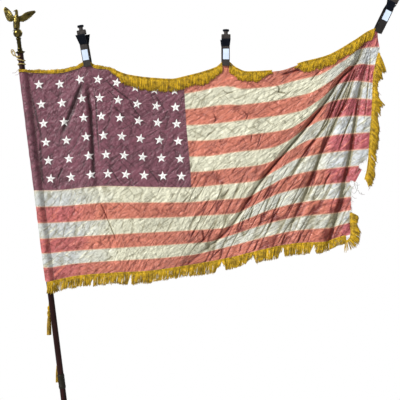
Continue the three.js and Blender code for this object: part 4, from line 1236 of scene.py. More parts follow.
class FLAG_OT_fringe(bpy.types.Operator):
    """The gold fringe on the top, bottom and fly edges, with its braided heading"""
    bl_idname = "flag.fringe"
    bl_label = "Fringe"

    def execute(self, context):
        fringe = context.scene.flag_fringe
        self.surface = strand_surface("fringe_gold", fringe.gold, fringe.shade)
        self.radius, self.pitch, self.drop = fringe.strand / MM, fringe.pitch / MM, fringe.drop / MM
        self.top()
        self.bottom()
        self.side("fringe_fly", FLY_LINE_POINTS, FLY_REACH, FLY_FALL, 21)
        self.side("fringe_corner", CORNER_POINTS, ((-900, 33), (-770, 25)), ((-900, 8), (-770, 14)), 22)
        return {"FINISHED"}

    def fit(self, shape, name):
        """Joins a finished length of fringe to the object."""
        settle(shape.build(f"{name}_strands", self.surface, 0, "strand"), "gold_fringe", name)

    def heading(self, shape, edge, start, end, rise, random):
        x = np.arange(start, end, BRAID_STEP)
        z = edge(x) + rise
        line = np.stack([x, face_y(x, z) - BRAID_LIFT - 1.2, z], 1)
        slope = np.gradient(z, x)
        out = unit(np.stack([-slope, 0 * x, np.ones_like(x)], 1))
        braid(shape, line, out, random)

    def top(self):
        random = np.random.default_rng(31)
        shape, edge = Shape(), GUIDE_HEIGHTS[0]
        self.heading(shape, edge, TOP_RUN[0], TOP_BALD[0], 1.5, random)
        self.heading(shape, edge, TOP_BALD[1], TOP_RUN[1], 1.5, random)
        x = np.arange(TOP_FLIP - 12, TOP_RUN[1], self.pitch) + random.uniform(-0.6, 0.6, 1)
        x = np.repeat(x, 2) + random.normal(0, 0.5, 2 * len(x))
        near = np.min([np.abs(x - tip[0]) for _, tip, *_ in CLAMPS], axis=0)
        bald = (x > TOP_BALD[0]) & (x < TOP_BALD[1])
        x = x[(near > CLAMP_GAP) & ~bald]
        root_z = edge(x) - 2
        roots = np.stack([x, face_y(x, root_z) - ROOT_LIFT, root_z], 1)
        slant = np.where(x > TOP_BALD[1], -15.0, 0.0) + np.where(x < -430, 8, 0)
        clump = 5 * noise(x / 13, 0 * x, 0) + 3 * noise(x / 5, 0 * x + 3, 1)
        fall = self.drop * (0.9 + 0.14 * noise(x / 26, 0 * x + 9, 2) + random.normal(0, 0.06, len(x)))
        fall = fall * np.where(np.abs(x) < 45, 0.72, 1) * share(x, TOP_FLIP - 30, TOP_FLIP + 60)
        fall = fall * np.where((x > 60) & (x < TOP_BALD[0]), 0.82, 1)
        fall = fall * (1 - 0.85 * share(x, 120, TOP_BALD[0]) * share(-x, -260, -200))
        fall = fall * (0.25 + 0.75 * share(np.where(x < 250, 999.0, x), TOP_BALD[1], 352)) + 3
        tip_x, tip_z = x + slant + clump, root_z - fall
        tips = np.stack([tip_x, face_y(tip_x, tip_z) - random.uniform(1.2, 3.4, len(x)), tip_z], 1)
        bow = bows(random, len(x), 1.2, -3.2, -1.0)
        hang(roots, tips, bow, random, self.radius, shape, random.uniform(0.15, 1, len(x)) ** 0.7)
        self.folded_back(shape, edge, random)
        self.fit(shape, "fringe_top")

    def folded_back(self, shape, edge, random):
        """The stretch near the pole, where the strands stand up and fall behind the cloth."""
        x = np.repeat(np.arange(TOP_RUN[0], TOP_FLIP + 14, self.pitch), 2)
        x = x + random.normal(0, 0.5, len(x))
        x = x[np.abs(x - CLAMPS[0][1][0]) > CLAMP_GAP + 1]
        z = edge(x) + 2
        over_pole = x < pole_axis_x(z) + SLEEVE_SIDE[1]
        front = face_y(x, z)
        high = 7 + 4.5 * noise(x / 30, 0 * x, 3) + random.normal(0, 1.3, len(x))
        behind = np.where(over_pole, front - 3, np.maximum(front, 0) + 8)
        lean = 9 * noise(x / 17, 0 * x + 5, 4)
        roots = np.stack([x, front - 1.8, z], 1)
        crest = np.stack([x + 0.5 * lean, np.where(over_pole, front - 3, 2.5), z + high], 1)
        drop = np.where(over_pole, 3, 24 + random.normal(0, 5, len(x)))
        tips = np.stack([x + lean, behind, z + high - drop], 1)
        t = np.linspace(0, 1, STRAND_STEPS + 1)[None, :, None]
        middle = 2 * crest - 0.5 * roots - 0.5 * tips
        lines = (1 - t) ** 2 * roots[:, None] + 2 * t * (1 - t) * middle[:, None]
        lines = lines + t ** 2 * tips[:, None]
        thickness = self.radius * (1 - 0.5 * t[..., 0] ** 3) * np.ones((len(x), 1))
        add_strands(shape, lines, thickness, 4, random.uniform(0.15, 1, len(x)))

    def bottom(self):
        random = np.random.default_rng(32)
        shape, edge = Shape(), GUIDE_HEIGHTS[4]
        self.heading(shape, edge, BOTTOM_RUN[0], BOTTOM_RUN[1], -1, random)
        x = np.repeat(np.arange(*BOTTOM_RUN, self.pitch), 2)
        x = x + random.normal(0, 0.5, len(x))
        root_z = edge(x) - 3
        roots = np.stack([x, face_y(x, root_z) - ROOT_LIFT, root_z], 1)
        clump = 6 * noise(x / 16, 0 * x, 5) + 3 * noise(x / 6, 0 * x + 3, 6)
        fall = self.drop * (0.95 + 0.12 * noise(x / 22, 0 * x + 9, 7) + random.normal(0, 0.045, len(x)))
        fall = fall * (1 - 0.3 * share(x, 380, 470))
        for low, high in BOTTOM_GAPS:
            middle, half = (low + high) / 2, (high - low) / 2
            fall = fall * (1 - 0.75 * np.exp(-((x - middle) / half) ** 4) * random.uniform(0.5, 1, len(x)))
            clump = clump + np.sign(x - middle) * 5 * np.exp(-((x - middle) / (2.2 * half)) ** 2)
        lean = -0.12 * fall
        tip_x, tip_z = x + clump + lean, root_z - fall
        tip_y = face_y(x, root_z) + 2.0 * noise(x / 22, 0 * x, 8) - random.uniform(0.5, 3.5, len(x))
        tips = np.stack([tip_x, tip_y, tip_z], 1)
        bow = bows(random, len(x), 1.4, -2.5, -0.5)
        hang(roots, tips, bow, random, self.radius, shape, random.uniform(0, 1, len(x)) ** 0.8)
        self.fit(shape, "fringe_bottom")

    def side(self, name, points, reach, fall, seed):
        """A fringe down a free edge, its strands pulled down along it."""
        random = np.random.default_rng(seed)
        shape = Shape()
        line = spline([(x, 0, z) for x, z in points], 600)
        steps = max(int(length_of(line) / BRAID_STEP), 8)
        line = spline(line[::20], steps)
        line[:, 1] = cloth_y(line[:, 0], line[:, 2]) - ROOT_LIFT
        along = unit(np.gradient(line, axis=0))
        out = unit(np.stack([-along[:, 2], 0 * along[:, 0], along[:, 0]], 1))
        braid(shape, line, -out, random)
        count = 3 * int(length_of(line) / self.pitch)
        where = np.sort(random.uniform(0, steps - 1.001, count))
        i = where.astype(int)
        part = (where - i)[:, None]
        roots = line[i] * (1 - part) + line[i + 1] * part
        away = out[i]
        size = 1 + 0.22 * noise(where / 14, 0 * where, 9) + random.normal(0, 0.09, count)
        clump = 5 * noise(where / 9, 0 * where + 4, 10)
        tips = roots + away * (np.interp(roots[:, 2], *zip(*reach)) * size)[:, None]
        tips[:, 2] -= np.interp(roots[:, 2], *zip(*fall)) * size + clump
        tips[:, 1] += random.uniform(-2.5, 3.0, count)
        bow = away * random.uniform(1, 4, count)[:, None]
        bow[:, 1] -= random.uniform(0, 3, count)
        hang(roots, tips, bow, random, self.radius, shape, random.uniform(0, 1, count) ** 0.8)
        self.fit(shape, name)


# Loose threads: start and end as (x, z) in the flag's plane, how far they sag, and 0 for red to 1 for grey
LOOSE_THREADS = (
    ((566, -560), (575, -546), 4, 0.9), ((573, -556), (590, -548), -8, 0.9),
    ((556, -580), (548, -600), 5, 0.2), ((541, -652), (556, -678), 8, 1.0),
    ((540, -645), (560, -652), 6, 1.0), ((548, -640), (552, -668), -6, 1.0),
    ((552, -668), (534, -690), 5, 0.9), ((556, -676), (572, -690), 7, 0.9),
    ((566, -684), (582, -692), 5, 0.8), ((530, -700), (548, -708), 4, 0.8),
    ((524, -706), (536, -724), 6, 0.5), ((518, -730), (530, -750), 5, 0.3),
    ((592, -648), (604, -668), 5, 0.6), ((600, -640), (598, -676), 7, 0.6),
    ((640, -262), (652, -276), 5, 0.4), ((636, -290), (648, -306), 6, 0.4),
    ((-868, -168), (-896, -184), 5, 0.5), ((-862, -172), (-884, -192), 7, 0.5),
)
THREAD_RADIUS, THREAD_STEPS, FRAY_RADIUS = 0.7, 14, 0.2
THREAD_RED, THREAD_GREY, THREAD_PALE = (0.3, 0.07, 0.06), (0.06, 0.06, 0.055), (0.4, 0.38, 0.3)


class FLAG_OT_threads(bpy.types.Operator):
    """Loose and frayed threads along the torn edges"""
    bl_idname = "flag.threads"
    bl_label = "Loose threads"

    def execute(self, context):
        random = np.random.default_rng(44)
        shape = Shape()
        for (ax, az), (bx, bz), sag, grey in LOOSE_THREADS:
            middle = ((ax + bx) / 2 + random.normal(0, 2), -6 + random.normal(0, 1.5), (az + bz) / 2 - sag)
            start = (ax, float(face_y(ax, az)) - 1.5, az)
            end = (bx, -7 + random.normal(0, 2), bz)
            line = spline([start, middle, end], THREAD_STEPS)
            add_strands(shape, line[None], THREAD_RADIUS, 5, grey)
        self.fray(shape, random)
        surface = Surface("frayed_thread", roughness=0.7)
        where = surface.place()
        tint = surface.mix(surface.mark("strand"), THREAD_RED, THREAD_GREY)
        tint = surface.mix(surface.between(surface.noise(where, 150.0), 0.5, 0.7), tint, THREAD_PALE)
        surface.finish(tint, None, surface.bump(surface.wave(where, 1800.0, "DIAGONAL"), 0.0001, 0.5))
        settle(shape.build("frayed_threads", surface.material, 0, "strand"), "white_cloth")
        return {"FINISHED"}

    def fray(self, shape, random):
        """Short ravelled ends round each hole and down the torn part of the fly."""
        edges = []
        for outline in TEARS:
            ring = np.array(outline + outline[:1], float)
            centre = ring[:-1].mean(0)
            for a, b in zip(ring[:-1], ring[1:]):
                ends = random.uniform(0, 1, int(np.hypot(*(b - a)) / 1.6))
                edges += [(a + (b - a) * t, centre) for t in ends]
        s = random.uniform(9.2, 12.9, 150)
        x, z = column_point(FLY_LINE, s)
        edges += [(np.array([px, pz]), np.array([px + 60, pz - 25])) for px, pz in zip(x, z)]
        starts = np.array([e[0] for e in edges if e[0][0] < 625])
        goals = np.array([e[1] for e in edges if e[0][0] < 625])
        away = unit(goals - starts) * random.uniform(1.5, 6.5, (len(starts), 1))
        away = away + random.normal(0, 1.2, away.shape)
        y = cloth_y(starts[:, 0], starts[:, 1])
        t = np.linspace(0, 1, 5)[None, :, None]
        flat = np.stack([away[:, 0], random.normal(-0.5, 1.2, len(y)), away[:, 1]], 1)
        lines = np.stack([starts[:, 0], y, starts[:, 1]], 1)[:, None] + flat[:, None] * t
        lines[..., 2] -= 2.5 * t[..., 0] ** 2
        add_strands(shape, lines, FRAY_RADIUS, 3, random.uniform(0, 1, len(lines)))


# ---------------- pole and finial

def brass_surface(settings):
    s = Surface("finial_brass", metallic=1.0)
    where = s.place()
    tarnish = s.noise(where, 70.0, 6.0, 0.65)
    fine = s.noise(where, 420.0, 3.0)
    shade = s.mix(s.between(tarnish, 0.42, 0.62), settings.brass, settings.patina)
    shade = s.mix(s.between(fine, 0.58, 0.75, 0.0, 0.6), shade, tone(settings.brass, 1.8))
    relief = s.bump(s.maths("ADD", tarnish, fine), 0.0005, 0.6)
    return s.finish(shade, s.between(tarnish, 0.35, 0.65, 0.22, 0.5), relief)


def rounded_rod(radius, low, high, edge=1.2):
    profile = [(0, low)] + arc((radius - edge, low + edge), edge, -90, 0, 4)
    return turned(profile + arc((radius - edge, high - edge), edge, 0, 90, 4) + [(0, high)], 56)


class FLAG_OT_pole(bpy.types.Operator):
    """The two lengths of dark wooden pole, the metal sleeve at their joint and the foot"""
    bl_idname = "flag.pole"
    bl_label = "Pole"

    def execute(self, context):
        settings = context.scene.flag_pole
        wood = worn_surface("stained_wood", settings.wood, settings.grain, (160, 160, 5),
                            (0.22, 0.42), relief=0.0005, scuff=35.0, Specular_IOR_Level=0.1, Coat_Weight=0.02,
                            Coat_Roughness=0.2)
        patina, even = settings.patina, (90, 90, 90)
        dull = worn_surface("tarnished_brass", tone(patina, 0.3), tone(patina, 0.7), even, (0.45, 0.65), 0.6)
        rubber = worn_surface("foot_rubber", RUBBER, RUBBER_WORN, even, (0.6, 0.8))
        frame_at = pole_frame()
        joint = -POLE_JOINT_AT
        lengths = (("pole_upper", joint + 0.3, -0.3), ("pole_lower", FOOT_HEIGHT + 0.3 - POLE_LENGTH, joint))
        for name, low, high in lengths:
            shape = Shape()
            shape.add(*rounded_rod(POLE_RADIUS, low, high, 0.8), frame_at)
            settle(shape.build(f"{name}_wood", wood), "dark_wood", name)
        shape = Shape()
        inner, outer = POLE_RADIUS + SLEEVE_GAP, POLE_RADIUS + SLEEVE_WALL
        low, high = joint - SLEEVE_BELOW, joint + SLEEVE_ABOVE
        rings = [(0, low + 1), (0, low + 5), (0.8, low + 6.5), (0.8, low + 9.5), (0, low + 11),
                 (0, joint - 1.2), (-0.6, joint - 0.6), (-0.6, joint + 0.1), (0, joint + 0.7),
                 (0, high - 8), (0.6, high - 7), (0.6, high - 5), (0, high - 4), (-0.3, high)]
        profile = [(inner, low), (outer - 0.4, low)] + [(outer + out, height) for out, height in rings]
        profile += [(inner, high), (inner, low)]
        shape.add(*turned(profile, 56), frame_at)
        settle(shape.build("joint_sleeve", dull), "brass", "pole_joint")
        shape = Shape()
        low, high = -POLE_LENGTH, -POLE_LENGTH + FOOT_HEIGHT
        profile = [(0, low)] + arc((13.5, low + 1.5), 1.5, -90, 0, 4)
        profile += [(16, low + 5), (15.4, low + 8), (14.8, low + 9), (14.8, low + 12), (15.2, low + 13)]
        profile += [(14.6, high - 4)] + arc((13.4, high - 1), 1, 0, 90, 4) + [(0, high)]
        shape.add(*turned(profile, 56), frame_at)
        settle(shape.build("foot", rubber), "foot_rubber", "pole_foot")
        return {"FINISHED"}


BALL_CENTRE, BALL_RADIUS = 85.5, 19
BALL_TOP = BALL_CENTRE + BALL_RADIUS


def feather(length, width, thickness=1.1, steps=7, curl=0.0):
    """A feather blade along +Z from the origin, facing -Y: a ridged leaf with a round tip."""
    across = np.array([-1, -0.55, 0, 0.55, 1.0])
    t = np.linspace(0, 1, steps)
    half = width / 2 * (0.55 + 0.45 * np.sin(np.minimum(t / 0.6, 1) * math.pi / 2))
    half = half * np.where(t > 0.75, np.sqrt(np.clip(1 - ((t - 0.75) / 0.25) ** 2, 0, 1)), 1)
    rise = np.array([0, 0.7, 1.1, 0.7, 0]) * thickness
    front, back = [], []
    for k, along in enumerate(t):
        for j, side in enumerate(across):
            front.append((side * half[k], -rise[j] - curl * along ** 2, along * length))
            back.append((side * half[k], 0.35 * thickness - curl * along ** 2, along * length))
    n = len(across)
    face = net_faces(steps, n)
    faces = face.tolist() + (face[:, ::-1] + len(front)).tolist()
    ring = [k * n for k in range(steps)] + [(steps - 1) * n + j for j in range(1, n)]
    ring += [k * n + n - 1 for k in range(steps - 2, -1, -1)] + list(range(n - 2, 0, -1))
    for a, b in zip(ring, ring[1:] + ring[:1]):
        faces.append((a, b, b + len(front), a + len(front)))
    return front + back, faces


def pointed(x, y, z, angle, tilt=0.0):
    """A matrix that puts a feather at x, y, z, its length turned by angle from +Z towards +X."""
    return shifted(x, y, z) @ spun(angle, "Y") @ spun(tilt, "X")


def plumage(shape, at, row, height, radius, flat, count, blade, tilt, gap=(0, 0)):
    """A ring of feathers that point down, every other row shifted by half a feather, with an open angle."""
    for k in range(count):
        turn = 360 * (k + 0.5 * (row % 2)) / count
        if gap[0] < turn < gap[1]:
            continue
        across, depth = math.sin(math.radians(turn)), -math.cos(math.radians(turn))
        place = at @ shifted(across * radius, depth * radius * flat, height)
        shape.add(*blade, place @ spun(turn, "Z") @ spun(180, "Y") @ spun(tilt, "X"))


# Each wing's leading and trailing edge as (x, z) above the ball's top, where the eagle stands upright
WINGS = (
    (((-8, 51), (-19, 53), (-26, 66), (-33, 76), (-43, 86), (-53, 92)),
     ((-9, 38), (-18, 34), (-28, 29), (-38, 31), (-46, 42), (-52, 60), (-57, 82))),
    (((4, 48), (20, 54), (30, 63), (42, 69), (60, 74), (76, 76)),
     ((5, 31), (24, 29), (37, 34), (50, 43), (63, 55), (77, 72))),
)
# Feather rows: how many, where they start and end between the two edges, width, depth in front
WING_ROWS = ((12, 0.12, 1.0, 8.0, 0.5), (11, 0.06, 0.62, 7.0, -1.2), (10, 0.0, 0.36, 6.0, -2.6))
EAGLE_MIDDLE = -3
EAGLE_FLAT = 0.85
TAIL_FEATHERS = 7
HEAD_RADIUS, HEAD_RISE = 6.6, 8
# The head's feather rows: height, radius and how many
HEAD_ROWS = ((68, 5.6, 9), (63, 5.9, 10), (58, 6, 11), (53, 6.6, 12))
EAGLE_BODY = ((0, -2), (7, 0), (11.5, 8), (12.8, 18), (13, 28), (12.6, 38), (10.6, 47), (7.6, 56), (5.6, 64),
              (4.8, 70), (0, 76))


class FLAG_OT_finial(bpy.types.Operator):
    """The brass ferrule and the eagle on its ball"""
    bl_idname = "flag.finial"
    bl_label = "Eagle and ferrule"

    def execute(self, context):
        settings = context.scene.flag_pole
        brass = brass_surface(settings)
        # The ferrule's brass is darkened to half: painted dark reflection, standing in for dim surroundings
        # mirrored in polished brass; the key light gives it a bright streak
        dark = worn_surface("ferrule_brass", tone(settings.brass, 0.5), settings.patina,
                            (60, 60, 20), (0.16, 0.34), 1.0)
        frame_at = pole_frame()
        shape = Shape()
        profile = [(0, 0), (15, 0), (16, 1.2), (16, 3)] + arc((19, 5.5), 1.5, -90, 90, 7)
        profile += [(15, 7.4), (14, 9), (10.6, 11.5), (10.2, 14)] + arc((10.2, 18), 1.3, -90, 90, 6)
        profile += [(9.3, 22), (8.8, 30), (8.7, 44)] + arc((8.8, 47), 1.4, -90, 90, 6)
        profile += [(8.8, 51), (9.2, 58)] + arc((10.2, 62.5), 1.4, -90, 90, 6) + [(10.6, 66), (0, 66)]
        shape.add(*turned(profile, 48), frame_at)
        settle(shape.build("ferrule_brass", dark), "brass", "ferrule")

        eagle = Shape()
        ball = arc((0, BALL_CENTRE), BALL_RADIUS, -90, -3, 14) + [(BALL_RADIUS + 0.7, BALL_CENTRE - 0.6)]
        ball += [(BALL_RADIUS + 0.7, BALL_CENTRE + 0.6)] + arc((0, BALL_CENTRE), BALL_RADIUS, 3, 90, 14)
        ball[0], ball[-1] = (0, BALL_CENTRE - BALL_RADIUS), (0, BALL_TOP)
        eagle.add(*turned(ball, 48), frame_at)
        upright = pole_frame(BALL_TOP) @ Matrix.Rotation(POLE_LEAN, 4, "Y")
        at = upright @ shifted(EAGLE_MIDDLE, 0, 0)
        self.body(eagle, at)
        self.head(eagle, at)
        self.legs(eagle, at)
        for leading, trailing in WINGS:
            self.wing(eagle, at @ shifted(-EAGLE_MIDDLE, 0, 0), leading, trailing)
        for k in range(TAIL_FEATHERS):
            aside = k - TAIL_FEATHERS // 2
            place = pointed(aside * 1.6, 7 + abs(aside) * 0.5, 2, 180 + aside * 11, -14)
            eagle.add(*feather(30 - abs(aside) * 1.2, 9, 1.2), at @ place)
        settle(eagle.build("eagle_brass", brass), "brass", "finial_eagle")
        return {"FINISHED"}

    def body(self, shape, at):
        line = spline([(r, 0, z) for r, z in EAGLE_BODY], 32)[:, [0, 2]]
        line[0, 0] = line[-1, 0] = 0
        points, faces = turned([tuple(p) for p in line], 32)
        shape.add(np.array(points) * (1, EAGLE_FLAT, 1), faces, at)
        for row in range(11):
            height = 57 - row * 4.8
            radius = np.interp(height, line[:, 1], line[:, 0])
            plumage(shape, at, row, height, radius, EAGLE_FLAT, 13, feather(8, 6.4, 0.8, 5), 7)

    def head(self, shape, at):
        """The head, turned to the left, with its brow, eyes and hooked beak."""
        points, faces = turned(ball_profile(HEAD_RADIUS, 12), 24)
        at = at @ shifted(0, 0, HEAD_RISE)
        skull = at @ shifted(-0.5, -0.5, 66)
        shape.add(np.array(points) * (0.95, EAGLE_FLAT, 1.15), faces, skull)
        line = spline([(-4.5, 0, 67.5), (-8, 0, 67.4), (-10.6, 0, 65.6), (-11.6, 0, 62.4)], 12)
        line[:, 1] -= 0.8
        beak = np.interp(np.linspace(0, 1, 12), (0, 0.5, 1), (3.2, 2.3, 0.5))
        add_strands(shape, line[None], beak, 12, matrix=at)
        for side in (-1, 1):
            brow = spline([(-2, side * 4.2 - 0.5, 70.4), (-4.4, side * 4.2 - 0.5, 70),
                           (-6.4, side * 3 - 0.5, 68.9)], 8)
            add_strands(shape, brow[None], 1.0, 8, matrix=at)
            eye = turned(ball_profile(1.15, 7), 12)
            shape.add(*eye, at @ shifted(-4, side * 4.8 - 0.5, 68))
        for row, (height, radius, count) in enumerate(HEAD_ROWS):
            face = (215, 325) if row == 0 else (0, 0)
            plumage(shape, at, row, height, radius, 0.9, count, feather(7, 4.6, 0.7, 5), -6, face)

    def legs(self, shape, at):
        for side in (-1, 1):
            leg = spline([(side * 6, -3, 12), (side * 7.5, -5, 5), (side * 7, -6.5, -1.5)], 10)
            add_strands(shape, leg[None], np.linspace(5.2, 2.6, 10), 12, matrix=at)
            for spread in (-38, 0, 38):
                turn = math.radians(spread + side * 8)
                reach = []
                for distance in (0, 4, 8, 11.5):
                    x, y = side * 7 + distance * math.sin(turn), -6.5 - distance * math.cos(turn)
                    flat = min(x * x + y * y, (BALL_RADIUS - 0.5) ** 2)
                    reach.append((x, y, math.sqrt(BALL_RADIUS ** 2 - flat) - BALL_RADIUS + 1.2))
                add_strands(shape, spline(reach, 9)[None], np.linspace(1.7, 0.5, 9), 8, matrix=at)

    def wing(self, shape, at, leading, trailing):
        lead, trail = (spline([(x, 0, z) for x, z in edge], 60) for edge in (leading, trailing))
        for depth_side in (-1, 1):
            for count, start, end, width, depth in WING_ROWS:
                for k in range(count):
                    i = int(3 + (56 * (k + 0.5) / count))
                    root = lead[i] + (trail[i] - lead[i]) * start
                    tip = lead[i] + (trail[i] - lead[i]) * end
                    span = tip - root
                    turn = math.degrees(math.atan2(span[0], span[2]))
                    place = pointed(root[0], 1 + depth_side * (1.2 - depth), root[2], turn)
                    if depth_side > 0:
                        place = place @ spun(180, "Z")
                    blade = feather(length_of(np.array([root, tip])) + 1, width, 1.2, 8)
                    shape.add(*blade, at @ place)
        bone = lead.copy()
        bone[:, 1] += 1
        add_strands(shape, bone[None, ::3], np.linspace(4.4, 1.6, 20), 12, matrix=at)


# ---------------- cord and tassels

# How far the tie's turns lean down to the right
TIE_SLANT = 9
# The tie's turns: how many steps, how many of them to a turn, where they start, and the rise of each step
TIE_STEPS, TURN_STEPS, TIE_START, TIE_RISE = 21, 8, -52, 1.9
TIE_LOOP = ((-7, -15.2, -13), (-13.5, -12, -12), (-20, -7, -9), (-29, -6, -3), (-36, -6, 8), (-35, -4, 19),
            (-28, -3, 18), (-23, -7, 8), (-21, -12, -3), (-26, -12, -8), (-32, -11, 1), (-31, -8, 12),
            (-26, -1, 12), (-23, 5, -4), (-19, 12, -12))
SHORT_ANGLE, LONG_ANGLE = 1.75, 1.22
SHORT_DROPS = (60, 180, 300, 420, 540, 660, 780, 900, 955)
LONG_DROPS = (60, 180, 300, 420, 540, 660, 780, 900, 1000, 1100, 1190)
SHORT_TAIL = ((-746, 14.5, -1090), (-745, 14, -1125), (-745, 14, -1162))
LONG_TAIL = ((-709, 18, -1320), (-708, 21.5, -1340), (-708, 22.5, -1363))
ROPE_TWIST, ROPE_STEP, ROPE_SIDES = 16.0, 1.9, 12
# How far the cord runs on inside its tassel
CORD_IN_TASSEL = 60


# A tassel's bands as height, radius and thickness, and the plied parts of its head as low, high, radius and
# thickness
TASSEL_BANDS = ((-18.5, 4.6, 0.9), (-20.2, 4.9, 0.9), (-40.5, 5.9, 1.0), (-42.6, 6.1, 1.0), (-0.9, 3.4, 0.8))
TASSEL_PLIES = ((-39, -22, 7.4, 0.75), (-17, -2, 6.2, 0.7))
TASSEL_NECK = -42
PLY_COUNT, PLY_STEPS, PLY_SIDES = 36, 6, 5
SKIRT_COUNT, SKIRT_STEPS, SKIRT_SIDES, SKIRT_RADIUS = 260, 7, 4, 0.6


def along_pole(angle, drop):
    across = math.cos(angle) * CORD_OFF_AXIS
    return (POLE_TOP[0] + across * math.cos(POLE_LEAN) + drop * math.sin(POLE_LEAN),
            math.sin(angle) * CORD_OFF_AXIS,
            POLE_TOP[2] + across * math.sin(POLE_LEAN) - drop * math.cos(POLE_LEAN))


def round_z(angle, reach, height):
    """Points at these angles, distances and heights round the Z axis."""
    return np.stack([np.cos(angle) * reach, np.sin(angle) * reach, height + 0 * angle], -1)


def rope(shape, line):
    """Three plies twisted round a line: a tube whose lobed section turns as it goes."""
    angle = np.arange(ROPE_SIDES) / ROPE_SIDES * 2 * math.pi
    lobes = np.abs(np.cos(1.5 * (angle[None] - run_along(line)[:, None] / ROPE_TWIST * 2 * math.pi)))
    reach = CORD_RADIUS * (0.78 + 0.22 * lobes)
    points = line[:, None] + reach[..., None] * rings_round(line, angle)
    faces = net_faces(len(line), ROPE_SIDES, closed=True).tolist()
    last = (len(line) - 1) * ROPE_SIDES
    faces += [tuple(range(ROPE_SIDES))[::-1], tuple(range(last, last + ROPE_SIDES))]
    shape.add(points.reshape(-1, 3), faces, mark=0.8)


class FLAG_OT_cords(bpy.types.Operator):
    """The cord tied round the pole, its two free ends and their tassels"""
    bl_idname = "flag.cords"
    bl_label = "Cord and tassels"

    def execute(self, context):
        settings = context.scene.flag_pole
        surface = strand_surface("cord_gold", settings.cord, settings.cord_shade, 700.0)
        gold = context.scene.flag_fringe
        tassel_surface = strand_surface("tassel_gold", gold.gold, gold.shade)
        self.tie(surface)
        ends = (("short", SHORT_ANGLE, SHORT_DROPS, SHORT_TAIL), ("long", LONG_ANGLE, LONG_DROPS, LONG_TAIL))
        for k, (name, angle, drops, tail) in enumerate(ends):
            points = [along_pole(angle, drop) for drop in drops] + list(tail)
            points.append((tail[-1][0], tail[-1][1], tail[-1][2] - CORD_IN_TASSEL))
            rough = spline(points, 400)
            line = spline(rough[::8], int(length_of(rough) / ROPE_STEP))
            shape = Shape()
            rope(shape, line)
            cord = settle(shape.build(f"cord_{name}_end", surface, 0, "strand"), "gold_cord", f"cord_{name}")
            tassel = self.tassel(name, tail[-1], tassel_surface, 50 + k)
        return {"FINISHED"}

    def tie(self, surface):
        turns = []
        for i in range(TIE_STEPS):
            turn = math.pi / 2 + i / TURN_STEPS * 2 * math.pi
            slant = TIE_SLANT * math.cos(turn) * math.sin(i / (TIE_STEPS - 1) * math.pi)
            across, depth = math.cos(turn) * CORD_OFF_AXIS, math.sin(turn) * CORD_OFF_AXIS
            turns.append((across, depth, TIE_START + i * TIE_RISE - slant))
        line = spline(turns + list(TIE_LOOP), 420)
        m = np.array(pole_frame())
        line = line @ m[:3, :3].T + m[:3, 3]
        shape = Shape()
        rope(shape, line)
        settle(shape.build("cord_tied", surface, 0, "strand"), "gold_cord", "cord_tie")

    def tassel(self, name, top, surface, seed):
        random = np.random.default_rng(seed)
        at = shifted(top[0], top[1], top[2] - 0.3)
        shape = Shape()
        profile = [(0, 0), (2.6, -0.4), (5.2, -3), (6.4, -7), (6.6, -11), (5.6, -15), (4.2, -18.5)]
        profile += [(4.4, -20), (6.4, -23), (7.6, -27), (8.0, -33), (7.2, -38), (5.4, -41), (5.2, -46)]
        profile += [(0, -48)]
        shape.add(*turned(profile[::-1], 28), at, 0.6)
        for height, reach, wire in TASSEL_BANDS:
            turn = np.linspace(0, 2 * math.pi, 29)
            add_strands(shape, round_z(turn, reach, height)[None], wire, 6, 0.95, at)
        turn = np.arange(PLY_COUNT) / PLY_COUNT * 2 * math.pi
        t = np.linspace(0, 1, PLY_STEPS)
        for low, high, radius, width in TASSEL_PLIES:
            reach = radius * (0.62 + 0.42 * np.sin(math.pi * (0.12 + 0.76 * t)))
            lines = round_z(turn[:, None] + 0.5 * t, reach, low + (high - low) * t)
            add_strands(shape, lines, width, PLY_SIDES, random.uniform(0.3, 1, PLY_COUNT), at)
        count = SKIRT_COUNT
        turn = random.uniform(0, 2 * math.pi, count)
        depth = random.uniform(0.35, 1, count) ** 0.5
        t = np.linspace(0, 1, SKIRT_STEPS)
        spread = np.interp(t, (0, 0.15, 0.5, 1), (4.9, 7.2, 9.4, 9.8))
        low = -TASSEL_LENGTH + random.uniform(0, 8, count)
        twist = turn[:, None] + 0.25 * t
        reach = spread * depth[:, None] * random.uniform(0.9, 1.04, (count, 1))
        height = TASSEL_NECK + (low - TASSEL_NECK)[:, None] * t
        lines = round_z(twist, reach, height)
        add_strands(shape, lines, SKIRT_RADIUS, SKIRT_SIDES, random.uniform(0, 1, count), at)
        node = f"tassel_{name}"
        return settle(shape.build(f"{node}_strands", surface, 30, "strand"), "gold_fringe", node)


# ---------------- clamps

LABEL = ((-15.9, 26), (-16.9, 52), (-17.6, 70), (-18.2, 70), (-17.5, 52), (-16.5, 26))
JAW_MIDDLE = (JAW_FRONT + JAW_BACK) / 2
ARM_WIDTH, GRIP_WIDTHS, GRIP_SPLAY = 31, (31, 39), 0.3
RIM_AT, RIM_WIDTH, TOOTH_HEIGHTS, TOOTH_WIDTH = (-14.6, 14.6), 1.6, (2.5, 5.5, 8.5, 11.5), 29
# The spring: turns, width, radius, wire radius and height of its axis
SPRING_TURNS, SPRING_WIDTH, SPRING_RADIUS, SPRING_WIRE, SPRING_HEIGHT = 7, 21.0, 6.4, 1.05, 40


def mirrored(outline):
    return [(JAW_FRONT + JAW_BACK - y, z) for y, z in outline][::-1]


def widened(solid, low, high, splay, shift):
    """A 1 mm wide plate made as wide as a grip, which flares from low to high and leans sideways by splay."""
    points = np.array(solid[0])
    up = (points[:, 2] - low) / (high - low)
    width = GRIP_WIDTHS[0] + (GRIP_WIDTHS[1] - GRIP_WIDTHS[0]) * up
    points[:, 0] = points[:, 0] * width + splay * up + shift
    return points, solid[1]


def moved(solid, matrix):
    return [tuple(matrix @ Vector(point)) for point in solid[0]], solid[1]


